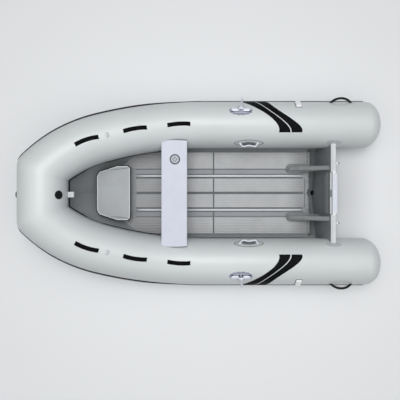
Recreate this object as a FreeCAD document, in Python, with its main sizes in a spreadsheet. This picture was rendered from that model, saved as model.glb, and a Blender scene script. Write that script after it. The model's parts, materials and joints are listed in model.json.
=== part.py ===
"""Rigid inflatable boat of about 3.35 m: an aluminium vee hull, its deck and transom inside an inflated collar.

Millimetres and degrees. +X points to the bow, +Y to port and +Z up. The origin is on the centreline at the
waterline, amidships. The collar's path, worked out in plan and sheer, carries the hull's chine, the rubbing
strake and every fitting on the tube.
"""

import FreeCAD
import Part
import Sketcher
import math
import os

from FreeCAD import Placement, Rotation, Vector

# Driving sizes, written once
SIZES = {
    # collar
    "tubeRadius": 218.5,
    "axisHeight": 226.5,
    "bowFlatHalf": 213.0,
    "bowCorner": 44.3,
    "quarterRadius": 1148.0,
    "quarterAngle": 28.4,
    "sideRadius": 3186.0,
    "bowAxisX": 1420.0,
    "sheerStartX": 200.0,
    "sheerRise": 286.0,
    "sheerPower": 1.35,
    "tubeEndX": -1535.0,
    "coneLength": 150.0,
    "chamberBreakX": 480.0,
    "pathStep": 90.0,
    "seatGap": 0.3,
    # rubbing strake
    "strakeHeight": 26.0,
    "strakeDepth": 11.0,
    "strakeGap": 1.0,
    # hull
    "plate": 4.0,
    "keelDepth": 100.0,
    "keelRiseStartX": 300.0,
    "keelRisePower": 3.2,
    "chineInboard": 150.0,
    "chineBelowAxis": 215.0,
    "sideInboard": 95.0,
    "keelBarWidth": 24.0,
    "keelBarDepth": 16.0,
    "flangeGap": 1.0,
    "flangeThick": 4.0,
    "flangeLowAngle": 69.0,
    "flangeHighAngle": -4.0,
    # transom
    "transomTopX": -1201.4,
    "transomTopZ": 344.0,
    "transomThick": 42.0,
    "transomRake": 10.0,
    "transomTopHalf": 452.0,
    "engineBayHalf": 194.0,
    "padThick": 12.0,
    "padDrop": 165.0,
    "kneeY": 240.0,
    "kneeWidth": 42.0,
    "kneeFootX": -850.0,
    "kneeTopDrop": 24.0,
    "kneeToe": 34.0,
    "plugRadius": 22.0,
    "plugLength": 16.0,
    "eyeRod": 8.0,
    "eyeSpan": 46.0,
    "eyeReach": 48.0,
    "eyeY": 283.0,
    "eyeDrop": 70.0,
    # deck
    "deckTopZ": 70.0,
    "deckThick": 5.0,
    "deckHalf": 405.0,
    "deckFrontX": 806.0,
    "deckSlantX": 659.0,
    "deckSlantHalf": 372.0,
    "deckFrontHalf": 281.0,
    "deckSeamX": -114.0,
    "deckSeam": 4.0,
    "deckAftX": -1045.0,
    "railInner": 147.0,
    "railOuter": 189.0,
    "railTop": 22.0,
    "railHeight": 20.0,
    "railFrontX": 640.0,
    "railAftX": -985.0,
    "bandOuter": 234.0,
    "bandStep": 9.0,
    "grooveHalf": 10.0,
    "grooveDepth": 8.0,
    "sillLength": 46.0,
    "sillHeight": 14.0,
    # bow locker
    "lockerTopZ": 196.0,
    "lidFrontX": 1010.0,
    "lidAftX": 696.0,
    "lidFrontHalf": 172.0,
    "lidAftHalf": 258.0,
    "lidThick": 8.0,
    "lidCorner": 26.0,
    "lidOverhang": 6.0,
    "lidGap": 0.3,
    "lockerWall": 5.0,
    "hingeRadius": 6.0,
    "hingePin": 2.5,
    "hingeClear": 0.06,
    "hingeBarrel": 40.0,
    "hingeKnuckle": 10.0,
    "hingeY": 100.0,
    "hingeLeaf": 22.0,
    # thwart
    "seatX": 257.0,
    "seatWidth": 234.0,
    "seatHalf": 482.0,
    "seatBulge": 6.0,
    "seatTopZ": 400.0,
    "seatThick": 4.0,
    "seatDrop": 38.0,
    "capX": 251.0,
    "capY": -313.0,
    "capRadius": 48.0,
    "capHeight": 7.0,
    # fittings
    "rowlockX": -353.0,
    "rowlockAngle": 30.0,
    "rowlockLength": 196.0,
    "rowlockWidth": 82.0,
    "rowlockThick": 9.0,
    "earThick": 9.0,
    "earGap": 17.0,
    "earHeight": 30.0,
    "earRadius": 11.0,
    "pinRadius": 6.5,
    "pinLength": 137.0,
    "pinTip": 4.0,
    "pinNeckRadius": 5.8,
    "pinNeckTop": 45.0,
    "bossRadius": 11.0,
    "boltRadius": 4.0,
    "boltClear": 0.06,
    "handleX": -434.0,
    "handleAngle": -58.0,
    "handleLength": 178.0,
    "handleReach": 38.0,
    "handleRod": 7.0,
    "handlePadLength": 280.0,
    "handlePadWidth": 92.0,
    "handlePadThick": 5.0,
    "sternHandleX": -1294.0,
    "sternHandleAngle": 63.0,
    "sternHandleLength": 200.0,
    "sternHandleReach": 43.0,
    "sternHandleRod": 7.5,
    "clipX": -890.0,
    "clipAngle": 52.0,
    "clipLength": 50.0,
    "clipWidth": 85.0,
    "clipThick": 20.0,
    "gripLength": 222.0,
    "gripWidth": 38.0,
    "gripThick": 9.0,
    "gripAngle": -4.0,
    "gripFirstX": 213.0,
    "gripSecondX": 603.0,
    "gripThirdX": 1013.0,
    "valveAngle": 55.0,
    "valveY": 9.0,
    "valveRadius": 38.0,
    "valveHeight": 10.0,
    "bowBlockAngle": 92.0,
    "bowBlockLength": 58.0,
    "bowBlockWidth": 50.0,
    "bowBlockHeight": 26.0,
    "bowRingRod": 6.0,
    "bowRingRadius": 26.0,
}

doc = FreeCAD.newDocument("RibBoat")
sheet = doc.addObject("Spreadsheet::Sheet", "Sizes")
for row, (alias, value) in enumerate(SIZES.items(), start=1):
    sheet.set(f"A{row}", alias)
    sheet.set(f"B{row}", str(value))
    sheet.setAlias(f"B{row}", alias)
doc.recompute()


def size(alias):
    """The value of a named cell."""
    return float(sheet.get(alias))


parts = []


def add_feature(label, shape, placement=None):
    """A sub-part whose shape is worked out below from the sheet's values."""
    feature = doc.addObject("Part::Feature", label)
    feature.Shape = shape
    if placement is not None:
        feature.Placement = placement
    feature.Label = label
    parts.append(feature)
    return feature


def new_body(label):
    """An empty body that becomes the sub-part of that name."""
    body = doc.addObject("PartDesign::Body", label)
    body.Label = label
    return body


def outline_sketch(body, role, outlines):
    """Closed outlines on one of the body's own planes, each corner held by two distances read from the sheet."""
    sketch = body.newObject("Sketcher::SketchObject", body.Name + "_outline")
    plane = next(feature for feature in body.Origin.OriginFeatures if feature.Role == role)
    sketch.AttachmentSupport = (plane, [""])
    sketch.MapMode = "FlatFace"
    for corners in outlines:
        points = [Vector(float(sheet.evalExpression(x)), float(sheet.evalExpression(y)), 0) for x, y in corners]
        first = sketch.GeometryCount
        for start, end in zip(points, points[1:] + points[:1]):
            sketch.addGeometry(Part.LineSegment(start, end))
        for number, (x, y) in enumerate(corners):
            line, before = first + number, first + (number - 1) % len(corners)
            sketch.addConstraint(Sketcher.Constraint("Coincident", before, 2, line, 1))
            for kind, place, expression in (("DistanceX", points[number].x, x), ("DistanceY", points[number].y, y)):
                index = sketch.addConstraint(Sketcher.Constraint(kind, -1, 1, line, 1, place))
                sketch.setExpression(f"Constraints[{index}]", expression)
    return sketch


def pad_sketch(body, sketch, length):
    """The sketch's outlines made solid over a length read from the sheet."""
    pad = body.newObject("PartDesign::Pad", body.Name + "_pad")
    pad.Profile = sketch
    pad.setExpression("Length", length)
    return pad


def add_disc(label, radius, height, placement):
    """A round sub-part, its radius and height bound to two cells."""
    disc = doc.addObject("Part::Cylinder", label)
    disc.Label = label
    disc.setExpression("Radius", f"Sizes.{radius}")
    disc.setExpression("Height", f"Sizes.{height}")
    disc.Placement = placement
    parts.append(disc)
    return disc


GAP = size("seatGap")

# The collar's path in plan: flat bow, mitred corner, quarter arc, long side arc, straight run
RADIUS = size("tubeRadius")
AXIS_Z = size("axisHeight")
CORNER = math.radians(size("bowCorner"))
QUARTER_END = CORNER + math.radians(size("quarterAngle"))
CORNER_Y = size("bowFlatHalf")
QUARTER_R = size("quarterRadius")
SIDE_R = size("sideRadius")
BOW_X = size("bowAxisX")
QUARTER_END_X = BOW_X - QUARTER_R * (math.cos(CORNER) - math.cos(QUARTER_END))
QUARTER_END_Y = CORNER_Y + QUARTER_R * (math.sin(QUARTER_END) - math.sin(CORNER))
STRAIGHT_X = QUARTER_END_X - SIDE_R * math.cos(QUARTER_END)
SIDE_Y = QUARTER_END_Y + SIDE_R * (1 - math.sin(QUARTER_END))


def sheer(x):
    """Height of the collar's axis: level aft, then rising to the bow as a power of the distance."""
    run = (x - size("sheerStartX")) / (BOW_X - size("sheerStartX"))
    return AXIS_Z + size("sheerRise") * max(run, 0) ** size("sheerPower")


def heading_at(x):
    """Angle in plan between the path and the bow's flat run: 90 degrees on the straight sides."""
    if x <= STRAIGHT_X:
        return math.pi / 2
    if x <= QUARTER_END_X:
        return math.acos((x - STRAIGHT_X) / SIDE_R)
    return math.acos(math.cos(CORNER) - (BOW_X - x) / QUARTER_R) if x < BOW_X else CORNER


def side_y(x):
    """Distance of the collar's axis from the centreline at a station."""
    if x <= STRAIGHT_X:
        return SIDE_Y
    if x <= QUARTER_END_X:
        return SIDE_Y - SIDE_R * (1 - math.sin(heading_at(x)))
    return CORNER_Y + QUARTER_R * (math.sin(heading_at(x)) - math.sin(CORNER))


def path_point(x, inboard=0, above=0):
    """A point of the port path, moved square to it in plan and upwards."""
    turn = heading_at(x)
    return Vector(x - inboard * math.cos(turn), side_y(x) - inboard * math.sin(turn), sheer(x) + above)


def stations(start, end):
    """Evenly spaced stations from one end to the other, closer together forward where the path bends."""
    count = max(2, math.ceil(abs(start - end) / size("pathStep")))
    return [start + (end - start) * step / count for step in range(count + 1)]


def path_spline(start, end, inboard=0, above=0):
    """A smooth edge along the port path between two stations."""
    curve = Part.BSplineCurve()
    curve.interpolate([path_point(x, inboard, above) for x in stations(start, end)])
    return curve.toShape()


def sweep(edge, profile):
    """A solid bar of one profile along a smooth edge, its upright side kept upright."""
    pipe = Part.BRepOffsetAPI.MakePipeShell(Part.Wire([edge]))
    pipe.setBiNormalMode(Vector(0, 0, 1))
    pipe.add(profile)
    pipe.build()
    pipe.makeSolid()
    return pipe.shape()


def tube_along(edge, radius):
    """A round bar along a smooth edge, closed at both ends: every upright section is a circle."""
    start = edge.valueAt(edge.FirstParameter)
    ahead = edge.tangentAt(edge.FirstParameter)
    return sweep(edge, Part.Wire([Part.makeCircle(radius, start, Vector(ahead.x, ahead.y, 0))]))


def mirrored(shape):
    """The same shape on the other side of the centreline."""
    return shape.mirror(Vector(0, 0, 0), Vector(0, 1, 0))


def collar_side(radius):
    return tube_along(path_spline(size("tubeEndX"), size("chamberBreakX")), radius)


def collar_bow(radius):
    """Two mitred quarters and the flat bow tube between their corners, with a ball at each corner."""
    quarter = tube_along(path_spline(size("chamberBreakX"), BOW_X), radius)
    corner = path_point(BOW_X)
    flat = Part.makeCylinder(radius, 2 * CORNER_Y, Vector(BOW_X, -CORNER_Y, sheer(BOW_X)), Vector(0, 1, 0))
    ball = Part.makeSphere(radius, corner)
    return flat.fuse([quarter, mirrored(quarter), ball, mirrored(ball)]).removeSplitter()


def straight_tube(radius):
    """The port tube's level, straight stretch, at any radius."""
    start = Vector(size("tubeEndX"), SIDE_Y, AXIS_Z)
    return Part.makeCylinder(radius, STRAIGHT_X - size("tubeEndX"), start, Vector(1, 0, 0))


def skin_patch(start, end, inner, outer):
    """A curved slab on a stretch of the port tube, between two heights over its surface."""
    if end < STRAIGHT_X:
        return straight_tube(RADIUS + outer).cut(straight_tube(RADIUS + inner))
    edge = path_spline(start, end)
    return tube_along(edge, RADIUS + outer).cut(tube_along(edge, RADIUS + inner))


def outward_at(x):
    """The level direction out of the port side, square to the path."""
    return Vector(math.cos(heading_at(x)), math.sin(heading_at(x)), 0)


def on_collar(x, angle):
    """Frame on the port tube's skin: X forward along it, Z straight out of it, the angle from its crest outboard."""
    lean = math.radians(angle)
    out = outward_at(x)
    ahead = path_point(x + 1) - path_point(x - 1)
    ahead.normalize()
    around = out * math.cos(lean) - Vector(0, 0, 1) * math.sin(lean)
    normal = ahead.cross(around)
    normal.normalize()
    skin = path_point(x) + (out * math.sin(lean) + Vector(0, 0, 1) * math.cos(lean)) * RADIUS
    return Placement(skin, Rotation(ahead, normal.cross(ahead), normal, "ZXY"))


def placed(shape, placement):
    """A copy of a shape moved from its own frame to its place."""
    moved = shape.copy()
    moved.Placement = placement.multiply(moved.Placement)
    return moved


def box(x0, x1, y0, y1, z0, z1):
    return Part.makeBox(x1 - x0, y1 - y0, z1 - z0, Vector(x0, y0, z0))


def prism(points, way):
    """A solid from a flat outline, carried along one way."""
    return Part.Face(Part.makePolygon(points + points[:1])).extrude(way)


def rod_through(points, bend, radius):
    """A round rod through corner points, its corners bent to one radius."""
    edges = []
    start = points[0]
    for before, corner, after in zip(points, points[1:], points[2:]):
        back = (before - corner).normalize()
        ahead = (after - corner).normalize()
        half = back.getAngle(ahead) / 2
        reach = bend / math.tan(half)
        centre_way = (back + ahead).normalize()
        near = corner + back * reach
        far = corner + ahead * reach
        middle = corner + centre_way * (bend / math.sin(half) - bend)
        edges.append(Part.LineSegment(start, near).toShape())
        edges.append(Part.Arc(near, middle, far).toShape())
        start = far
    edges.append(Part.LineSegment(start, points[-1]).toShape())
    wire = Part.Wire(edges)
    ring = Part.Wire([Part.makeCircle(radius, points[0], points[1] - points[0])])
    return wire.makePipeShell([ring], True, True)


# Collar: two side chambers and the bow chamber, then the moulded cones that close the sides
port_side = collar_side(RADIUS)
bow_tube = collar_bow(RADIUS)
add_feature("collar_port", port_side)
add_feature("collar_starboard", mirrored(port_side))
add_feature("collar_bow", bow_tube)

for label, side in (("stern_cone_port", 1), ("stern_cone_starboard", -1)):
    cone = doc.addObject("Part::Ellipsoid", label)
    cone.Label = label
    cone.setExpression("Radius1", "Sizes.coneLength")
    cone.setExpression("Radius2", "Sizes.tubeRadius")
    cone.setExpression("Radius3", "Sizes.tubeRadius")
    cone.Angle1 = 0
    cone.Angle2 = 90
    cone.Placement = Placement(Vector(size("tubeEndX"), side * SIDE_Y, AXIS_Z), Rotation(Vector(0, 1, 0), -90))
    parts.append(cone)

# Rubbing strake: a half-round bar seated on the collar's widest line
def strake_profile(centre, out):
    """Section of the strake in an upright plane through the collar's axis."""
    back = RADIUS + size("seatGap")
    half = size("strakeHeight") / 2
    depth = math.sqrt(back**2 - half**2)
    low = centre + out * depth - Vector(0, 0, half)
    high = centre + out * depth + Vector(0, 0, half)
    tip = centre + out * (back + size("strakeDepth"))
    seat = centre + out * back
    return Part.Wire([Part.Arc(low, tip, high).toShape(), Part.Arc(high, seat, low).toShape()])


strake_side = sweep(
    path_spline(size("tubeEndX"), BOW_X - size("strakeGap")),
    strake_profile(path_point(size("tubeEndX")), outward_at(size("tubeEndX"))),
)
corner = path_point(BOW_X)
bow_profile = Part.Face(strake_profile(corner, Vector(1, 0, 0)))
strake_corner = bow_profile.revolve(corner, Vector(0, 0, 1), size("bowCorner"))
strake_front = bow_profile.extrude(Vector(0, -2 * CORNER_Y, 0))
add_feature("strake_bow", strake_front.fuse([strake_corner, mirrored(strake_corner)]))
add_feature("strake_port", strake_side)
add_feature("strake_starboard", mirrored(strake_side))

# Hull: a plate vee, its bottom from keel to chine and its sides from chine up to the tube
def mitre_point(inboard, below):
    """Where a line under the port tube meets the plane of the bow's corner: a little aft on the tube's path."""
    aft = inboard * math.tan(CORNER / 2)
    return Vector(BOW_X - inboard, CORNER_Y - aft, sheer(BOW_X - aft * math.sin(CORNER)) - below)


STEM_X = BOW_X - size("chineInboard")
STEM_Z = mitre_point(size("chineInboard"), size("chineBelowAxis")).z
UP = Vector(0, 0, 1)
TALL = 4 * RADIUS
rake = math.radians(size("transomRake"))
SIDE_INBOARD = size("sideInboard")
FLANGE_OUT = RADIUS + size("flangeGap") + size("flangeThick")
SIDE_BELOW = math.sqrt(FLANGE_OUT**2 - SIDE_INBOARD**2) + size("plate")


def transom_front(z):
    """Station of the transom's forward face at a height."""
    return size("transomTopX") + (size("transomTopZ") - z) * math.tan(rake)


def keel_z(x):
    """Keel depth: level aft, then a rising forefoot up to the stem."""
    run = (x - size("keelRiseStartX")) / (STEM_X - size("keelRiseStartX"))
    return -size("keelDepth") + (STEM_Z + size("keelDepth")) * max(run, 0) ** size("keelRisePower")


def offset_line(inboard, below, further):
    """Points of a line under the port tube, from the transom or further aft to its mitre at the bow corner."""
    aft = transom_front(AXIS_Z - below) - size("transomThick") - further
    mitre = mitre_point(inboard, below)
    points = [path_point(x, inboard, -below) for x in stations(aft, BOW_X)]
    return [point for point in points if point.x < mitre.x - size("pathStep") / 2] + [mitre]


def smooth_edge(points):
    curve = Part.BSplineCurve()
    curve.interpolate(points)
    return curve.toShape()


def straight_edge(start, end):
    return Part.LineSegment(start, end).toShape()


def hull_edges(further):
    """Keel, chine and side edges of the port half, its stem and bow edges, and the two edges at the transom."""
    chine = offset_line(size("chineInboard"), size("chineBelowAxis"), further)
    side = offset_line(SIDE_INBOARD, SIDE_BELOW, further)
    keel = [Vector(point.x, 0, keel_z(point.x)) for point in chine]
    keel[0].x = transom_front(keel[0].z) - size("transomThick") - further
    side_centre = Vector(side[-1].x, 0, side[-1].z)
    lines = [smooth_edge(points) for points in (keel, chine, side)]
    lines += [straight_edge(chine[-1], keel[-1]), straight_edge(side[-1], side_centre)]
    return lines + [straight_edge(keel[0], chine[0]), straight_edge(chine[0], side[0])]


def hull_layer(lift, rise, further):
    """A closed layer over the hull's panels: their faces, the same faces higher up, and the rim between."""
    keel, chine, side, stem, bow, aft_bottom, aft_side = hull_edges(further)
    panels = [Part.makeRuledSurface(*pair) for pair in ((keel, chine), (chine, side), (stem, bow))]
    faces = [panel.translated(UP * lift) for panel in panels]
    faces += [panel.translated(UP * (lift + rise)) for panel in panels]
    faces += [edge.translated(UP * lift).extrude(UP * rise) for edge in (aft_bottom, aft_side, side, bow)]
    shell = Part.makeShell(faces + [mirrored(face) for face in faces])
    shell.sewShape()
    solid = Part.makeSolid(Part.Shell(shell.Faces))
    if solid.Volume < 0:
        solid.reverse()
    return solid


hull = hull_layer(0, size("plate"), 0)
inside = hull_layer(size("plate") + 2 * GAP, TALL, RADIUS)
add_feature("hull_shell", hull)

# Keel bar: a tapered extrusion under the vee, its top cut to the deadrise
half_bar = size("keelBarWidth") / 2
keel_edge, chine_edge = hull_edges(0)[:2]
keel_start = keel_edge.valueAt(keel_edge.FirstParameter)
chine_start = chine_edge.valueAt(chine_edge.FirstParameter)
deadrise = (chine_start.z - keel_start.z) / chine_start.y
bar_outline = [
    (0, 0),
    (half_bar, half_bar * deadrise),
    (half_bar / 2, -size("keelBarDepth")),
    (-half_bar / 2, -size("keelBarDepth")),
    (-half_bar, half_bar * deadrise),
    (0, 0),
]
bar_profile = Part.makePolygon([keel_start + Vector(0, y, z) for y, z in bar_outline])
bar = sweep(keel_edge, bar_profile).translated(-UP * GAP).cut([hull])
add_feature("keel_bar", max(bar.Solids, key=lambda solid: solid.Volume))

# Tube seats: curved aluminium flanges that carry the tubes, on the hull's sides
def flange_profile(frame_point, inboard):
    """A thin arc on the inboard side of the tube, from below its widest line to just over it."""
    near = RADIUS + size("flangeGap")
    far = FLANGE_OUT
    low = math.radians(size("flangeLowAngle"))
    high = math.radians(size("flangeHighAngle"))
    middle = (low + high) / 2

    def at(radius, angle):
        return frame_point + inboard * (radius * math.cos(angle)) - Vector(0, 0, radius * math.sin(angle))

    return Part.Wire(
        [
            Part.Arc(at(near, low), at(near, middle), at(near, high)).toShape(),
            Part.LineSegment(at(near, high), at(far, high)).toShape(),
            Part.Arc(at(far, high), at(far, middle), at(far, low)).toShape(),
            Part.LineSegment(at(far, low), at(near, low)).toShape(),
        ]
    )


flange_edge = path_spline(transom_front(size("deckTopZ")) + size("transomThick"), size("lidFrontX"))
flange = sweep(flange_edge, flange_profile(flange_edge.valueAt(flange_edge.FirstParameter), Vector(0, -1, 0)))
flange = flange.common(inside)
flange = max(flange.Solids, key=lambda solid: solid.Volume)
add_feature("tube_seat_port", flange)
add_feature("tube_seat_starboard", mirrored(flange))

# Deck: one pressed section, trimmed to its outline in plan and to the hull's bottom
TOP = size("deckTopZ")
BAND_Z = TOP - size("bandStep")
UNDER = BAND_Z - size("deckThick")


def deck_section(x):
    """Half section of the deck from the centre groove to its turned-down edge, then mirrored."""
    half = [
        (0, TOP - size("grooveDepth")),
        (size("grooveHalf"), TOP - size("grooveDepth")),
        (size("grooveHalf"), TOP),
        (size("railOuter"), TOP),
        (size("railOuter"), BAND_Z),
        (size("bandOuter"), BAND_Z),
        (size("bandOuter"), TOP),
        (size("deckHalf"), TOP),
        (size("deckHalf"), -size("keelDepth")),
        (size("deckHalf") - size("deckThick"), -size("keelDepth")),
        (size("deckHalf") - size("deckThick"), UNDER),
    ]
    port = [Vector(x, y, z) for y, z in half]
    starboard = [Vector(x, -y, z) for y, z in reversed(half[1:])]
    return port + starboard


def deck_piece(start, end):
    return prism(deck_section(start), Vector(end - start, 0, 0))


front_outline = [
    (size("deckSeamX") + size("deckSeam") / 2, -size("deckHalf")),
    (size("deckSlantX"), -size("deckHalf")),
    (size("deckSlantX"), -size("deckSlantHalf")),
    (size("deckFrontX"), -size("deckFrontHalf")),
    (size("deckFrontX"), size("deckFrontHalf")),
    (size("deckSlantX"), size("deckSlantHalf")),
    (size("deckSlantX"), size("deckHalf")),
    (size("deckSeamX") + size("deckSeam") / 2, size("deckHalf")),
]
front_plan = prism([Vector(x, y, -size("keelDepth")) for x, y in front_outline], Vector(0, 0, TALL))
deck_fore = deck_piece(size("deckSeamX") + size("deckSeam") / 2, size("deckFrontX")).common([front_plan])
deck_fore = deck_fore.common(inside)
deck_aft = deck_piece(size("deckAftX"), size("deckSeamX") - size("deckSeam") / 2).common(inside)
add_feature("deck_fore", deck_fore)
add_feature("deck_aft", deck_aft)

rails = new_body("deck_rails")
slope = "(Sizes.railOuter - Sizes.railInner - Sizes.railTop) / 2"
rail_top = "Sizes.deckTopZ + Sizes.railHeight"
rail_corners = [
    ("Sizes.railInner", "Sizes.deckTopZ"),
    (f"Sizes.railInner + {slope}", rail_top),
    (f"Sizes.railOuter - {slope}", rail_top),
    ("Sizes.railOuter", "Sizes.deckTopZ"),
]
rail_sketch = outline_sketch(rails, "YZ_Plane", [rail_corners, [(f"-({y})", z) for y, z in rail_corners]])
pad_sketch(rails, rail_sketch, "Sizes.railFrontX - Sizes.railAftX")
rails.Placement = Placement(Vector(size("railAftX"), 0, 0), Rotation())
parts.append(rails)

sill = prism(
    [
        Vector(size("deckAftX"), -size("deckHalf"), TOP),
        Vector(size("deckAftX"), -size("deckHalf"), UNDER),
        Vector(size("deckAftX") - size("sillLength"), -size("deckHalf"), UNDER - size("sillHeight")),
        Vector(size("deckAftX") - size("sillLength"), -size("deckHalf"), UNDER),
    ],
    Vector(0, 2 * size("deckHalf"), 0),
)
add_feature("deck_sill", sill.common(inside))

# Transom: a raked plate between the tubes, with engine pads, knees, plug and towing eyes
raked = Placement(
    Vector(size("transomTopX"), 0, size("transomTopZ")), Rotation(Vector(0, 1, 0), -size("transomRake"))
)
plate = box(-size("transomThick"), 0, -SIDE_Y, SIDE_Y, -TALL, 0)
plate = plate.common(box(-TALL, TALL, -SIDE_Y, SIDE_Y, -2 * RADIUS - size("keelDepth"), 0))
upper = box(-TALL, TALL, -size("transomTopHalf"), size("transomTopHalf"), -RADIUS / 2, 0)
lower = box(-TALL, TALL, -SIDE_Y, SIDE_Y, -TALL, -RADIUS / 2)
plate = plate.common(upper.fuse(lower))
tube_room = straight_tube(RADIUS + GAP)
transom = placed(plate, raked).common(inside).cut([tube_room, mirrored(tube_room), flange, mirrored(flange)])
transom = max(transom.Solids, key=lambda solid: solid.Volume)
add_feature("transom", transom)

for label, start in (("engine_pad_fore", 0), ("engine_pad_aft", -size("transomThick") - size("padThick"))):
    pad = doc.addObject("Part::Box", label)
    pad.Label = label
    pad.setExpression("Length", "Sizes.padThick")
    pad.setExpression("Width", "2 * Sizes.engineBayHalf")
    pad.setExpression("Height", "Sizes.padDrop")
    corner = raked.multVec(Vector(start, -size("engineBayHalf"), -size("padDrop")))
    pad.Placement = Placement(corner, raked.Rotation)
    parts.append(pad)

knee_top = "(Sizes.transomTopZ - Sizes.kneeTopDrop)"
knee_corners = [
    ("Sizes.kneeFootX", "Sizes.deckTopZ"),
    ("Sizes.kneeFootX", "Sizes.deckTopZ + Sizes.kneeToe"),
    (f"Sizes.transomTopX + (Sizes.transomTopZ - {knee_top}) * tan(Sizes.transomRake)", knee_top),
    ("Sizes.transomTopX + (Sizes.transomTopZ - Sizes.deckTopZ) * tan(Sizes.transomRake)", "Sizes.deckTopZ"),
]
for label, side in (("knee_port", 1), ("knee_starboard", -1)):
    knee = new_body(label)
    knee_pad = pad_sketch(knee, outline_sketch(knee, "XZ_Plane", [knee_corners]), "Sizes.kneeWidth")
    knee_pad.Midplane = True
    knee.Placement = Placement(Vector(0, side * size("kneeY"), 0), Rotation())
    parts.append(knee)

plug_z = -size("keelDepth") + 2 * size("plugRadius") + size("plate")
plug_frame = Placement(Vector(transom_front(plug_z), 0, plug_z), raked.Rotation)
add_disc("drain_plug", "plugRadius", "plugLength", plug_frame.multiply(Placement(Vector(), Rotation(Vector(0, 1, 0), 90))))


def eye_bolt(rod, span, reach):
    """A bent rod, its two legs in X, standing out along -X from a face."""
    points = [
        Vector(0, -span / 2, 0),
        Vector(-reach, -span / 2, 0),
        Vector(-reach, span / 2, 0),
        Vector(0, span / 2, 0),
    ]
    return rod_through(points, span / 2 - rod / 4, rod / 2)


eye = eye_bolt(size("eyeRod"), size("eyeSpan"), size("eyeReach"))
eye_place = raked.multiply(
    Placement(Vector(-size("transomThick"), size("eyeY"), -size("eyeDrop")), Rotation(Vector(1, 0, 0), 90))
)
port_eye = placed(eye, eye_place)
add_feature("stern_eyes", Part.makeCompound([port_eye, mirrored(port_eye)]))

# Bow locker: four walls on the hull's bottom, and a lid hinged at its forward edge
def locker_outline(grow, z):
    front = size("lidFrontX") + grow
    aft = size("lidAftX") - grow
    slope = (size("lidAftHalf") - size("lidFrontHalf")) / (size("lidFrontX") - size("lidAftX"))
    lean = grow * (math.sqrt(1 + slope**2) - slope)
    steep = grow * (math.sqrt(1 + slope**2) + slope)
    return [
        Vector(front, -size("lidFrontHalf") - lean, z),
        Vector(front, size("lidFrontHalf") + lean, z),
        Vector(aft, size("lidAftHalf") + steep, z),
        Vector(aft, -size("lidAftHalf") - steep, z),
    ]


LID_Z = size("lockerTopZ")
outer = prism(locker_outline(-size("lidOverhang"), -size("keelDepth")), Vector(0, 0, LID_Z + size("keelDepth")))
inner = prism(
    locker_outline(-size("lidOverhang") - size("lockerWall"), -size("keelDepth")),
    Vector(0, 0, LID_Z + size("keelDepth")),
)
locker = outer.cut(inner).common(inside).cut([deck_fore])
locker = max(locker.Solids, key=lambda solid: solid.Volume)
add_feature("locker_box", locker)

LID_LOW = LID_Z + size("lidGap")
lid = prism(locker_outline(0, LID_LOW), Vector(0, 0, size("lidThick")))
uprights = [
    edge
    for edge in lid.Edges
    if abs(edge.Vertexes[0].Z - edge.Vertexes[1].Z) > size("lidThick") / 2
]
lid = lid.makeFillet(size("lidCorner"), uprights)

# Lid hinges: barrels on the lid turn on pins held by knuckles and a leaf on the box's forward wall
HINGE_X = size("lidFrontX") + size("hingeRadius")
HINGE_Z = LID_LOW + size("lidThick") / 2
HALF_BARREL = size("hingeBarrel") / 2
HALF_HINGE = HALF_BARREL + size("hingeKnuckle") + size("seatGap")
ALONG_Y = Vector(0, 1, 0)


def hinge_round(radius, start, end):
    """A cylinder on the hinge's axis between two distances from the hinge's middle."""
    return Part.makeCylinder(radius, end - start, Vector(HINGE_X, start, HINGE_Z), ALONG_Y)


barrel = hinge_round(size("hingeRadius"), -HALF_BARREL, HALF_BARREL)
barrel = barrel.fuse(box(size("lidFrontX") - size("lidOverhang"), HINGE_X, -HALF_BARREL, HALF_BARREL, LID_LOW, HINGE_Z))
barrel = barrel.cut(hinge_round(size("hingePin") + size("hingeClear"), -HALF_HINGE, HALF_HINGE))
leaf_in = size("lidFrontX") - size("lidOverhang")
leaf = box(leaf_in, size("lidFrontX"), -HALF_HINGE, HALF_HINGE, LID_Z - size("hingeLeaf"), LID_Z)
hinge = leaf.fuse(hinge_round(size("hingePin"), -HALF_HINGE, HALF_HINGE))
for start in (-HALF_HINGE, HALF_HINGE - size("hingeKnuckle")):
    end = start + size("hingeKnuckle")
    arm = box(size("lidFrontX") - size("hingePin"), HINGE_X, start, end, LID_Z - size("hingeLeaf"), HINGE_Z)
    arm = arm.cut(lid)
    hinge = hinge.fuse([hinge_round(size("hingeRadius"), start, end), arm])
to_port = Vector(0, size("hingeY"), 0)
lid = lid.fuse([barrel.translated(to_port), barrel.translated(-to_port)])
add_feature("locker_lid", lid)
add_feature("lid_hinges", Part.makeCompound([hinge.translated(to_port), hinge.translated(-to_port)]))

# Thwart: a pressed plank with turned-down edges, resting on both tubes
seat_body = doc.addObject("PartDesign::Body", "SeatBlank")
seat_plane = next(feature for feature in seat_body.Origin.OriginFeatures if feature.Role == "XY_Plane")


def seat_sketch(name, half_width, half_length, bulge):
    """Plan of the plank: straight edges, and ends bowed out by an arc."""
    sketch = seat_body.newObject("Sketcher::SketchObject", name)
    sketch.AttachmentSupport = (seat_plane, [""])
    sketch.MapMode = "FlatFace"
    corners = [
        Vector(-half_width, -half_length, 0),
        Vector(half_width, -half_length, 0),
        Vector(half_width, half_length, 0),
        Vector(-half_width, half_length, 0),
    ]
    sketch.addGeometry(Part.LineSegment(corners[1], corners[2]))
    sketch.addGeometry(Part.LineSegment(corners[3], corners[0]))
    sketch.addGeometry(Part.Arc(corners[2], Vector(0, half_length + bulge, 0), corners[3]))
    sketch.addGeometry(Part.Arc(corners[0], Vector(0, -half_length - bulge, 0), corners[1]))
    return sketch


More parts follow.
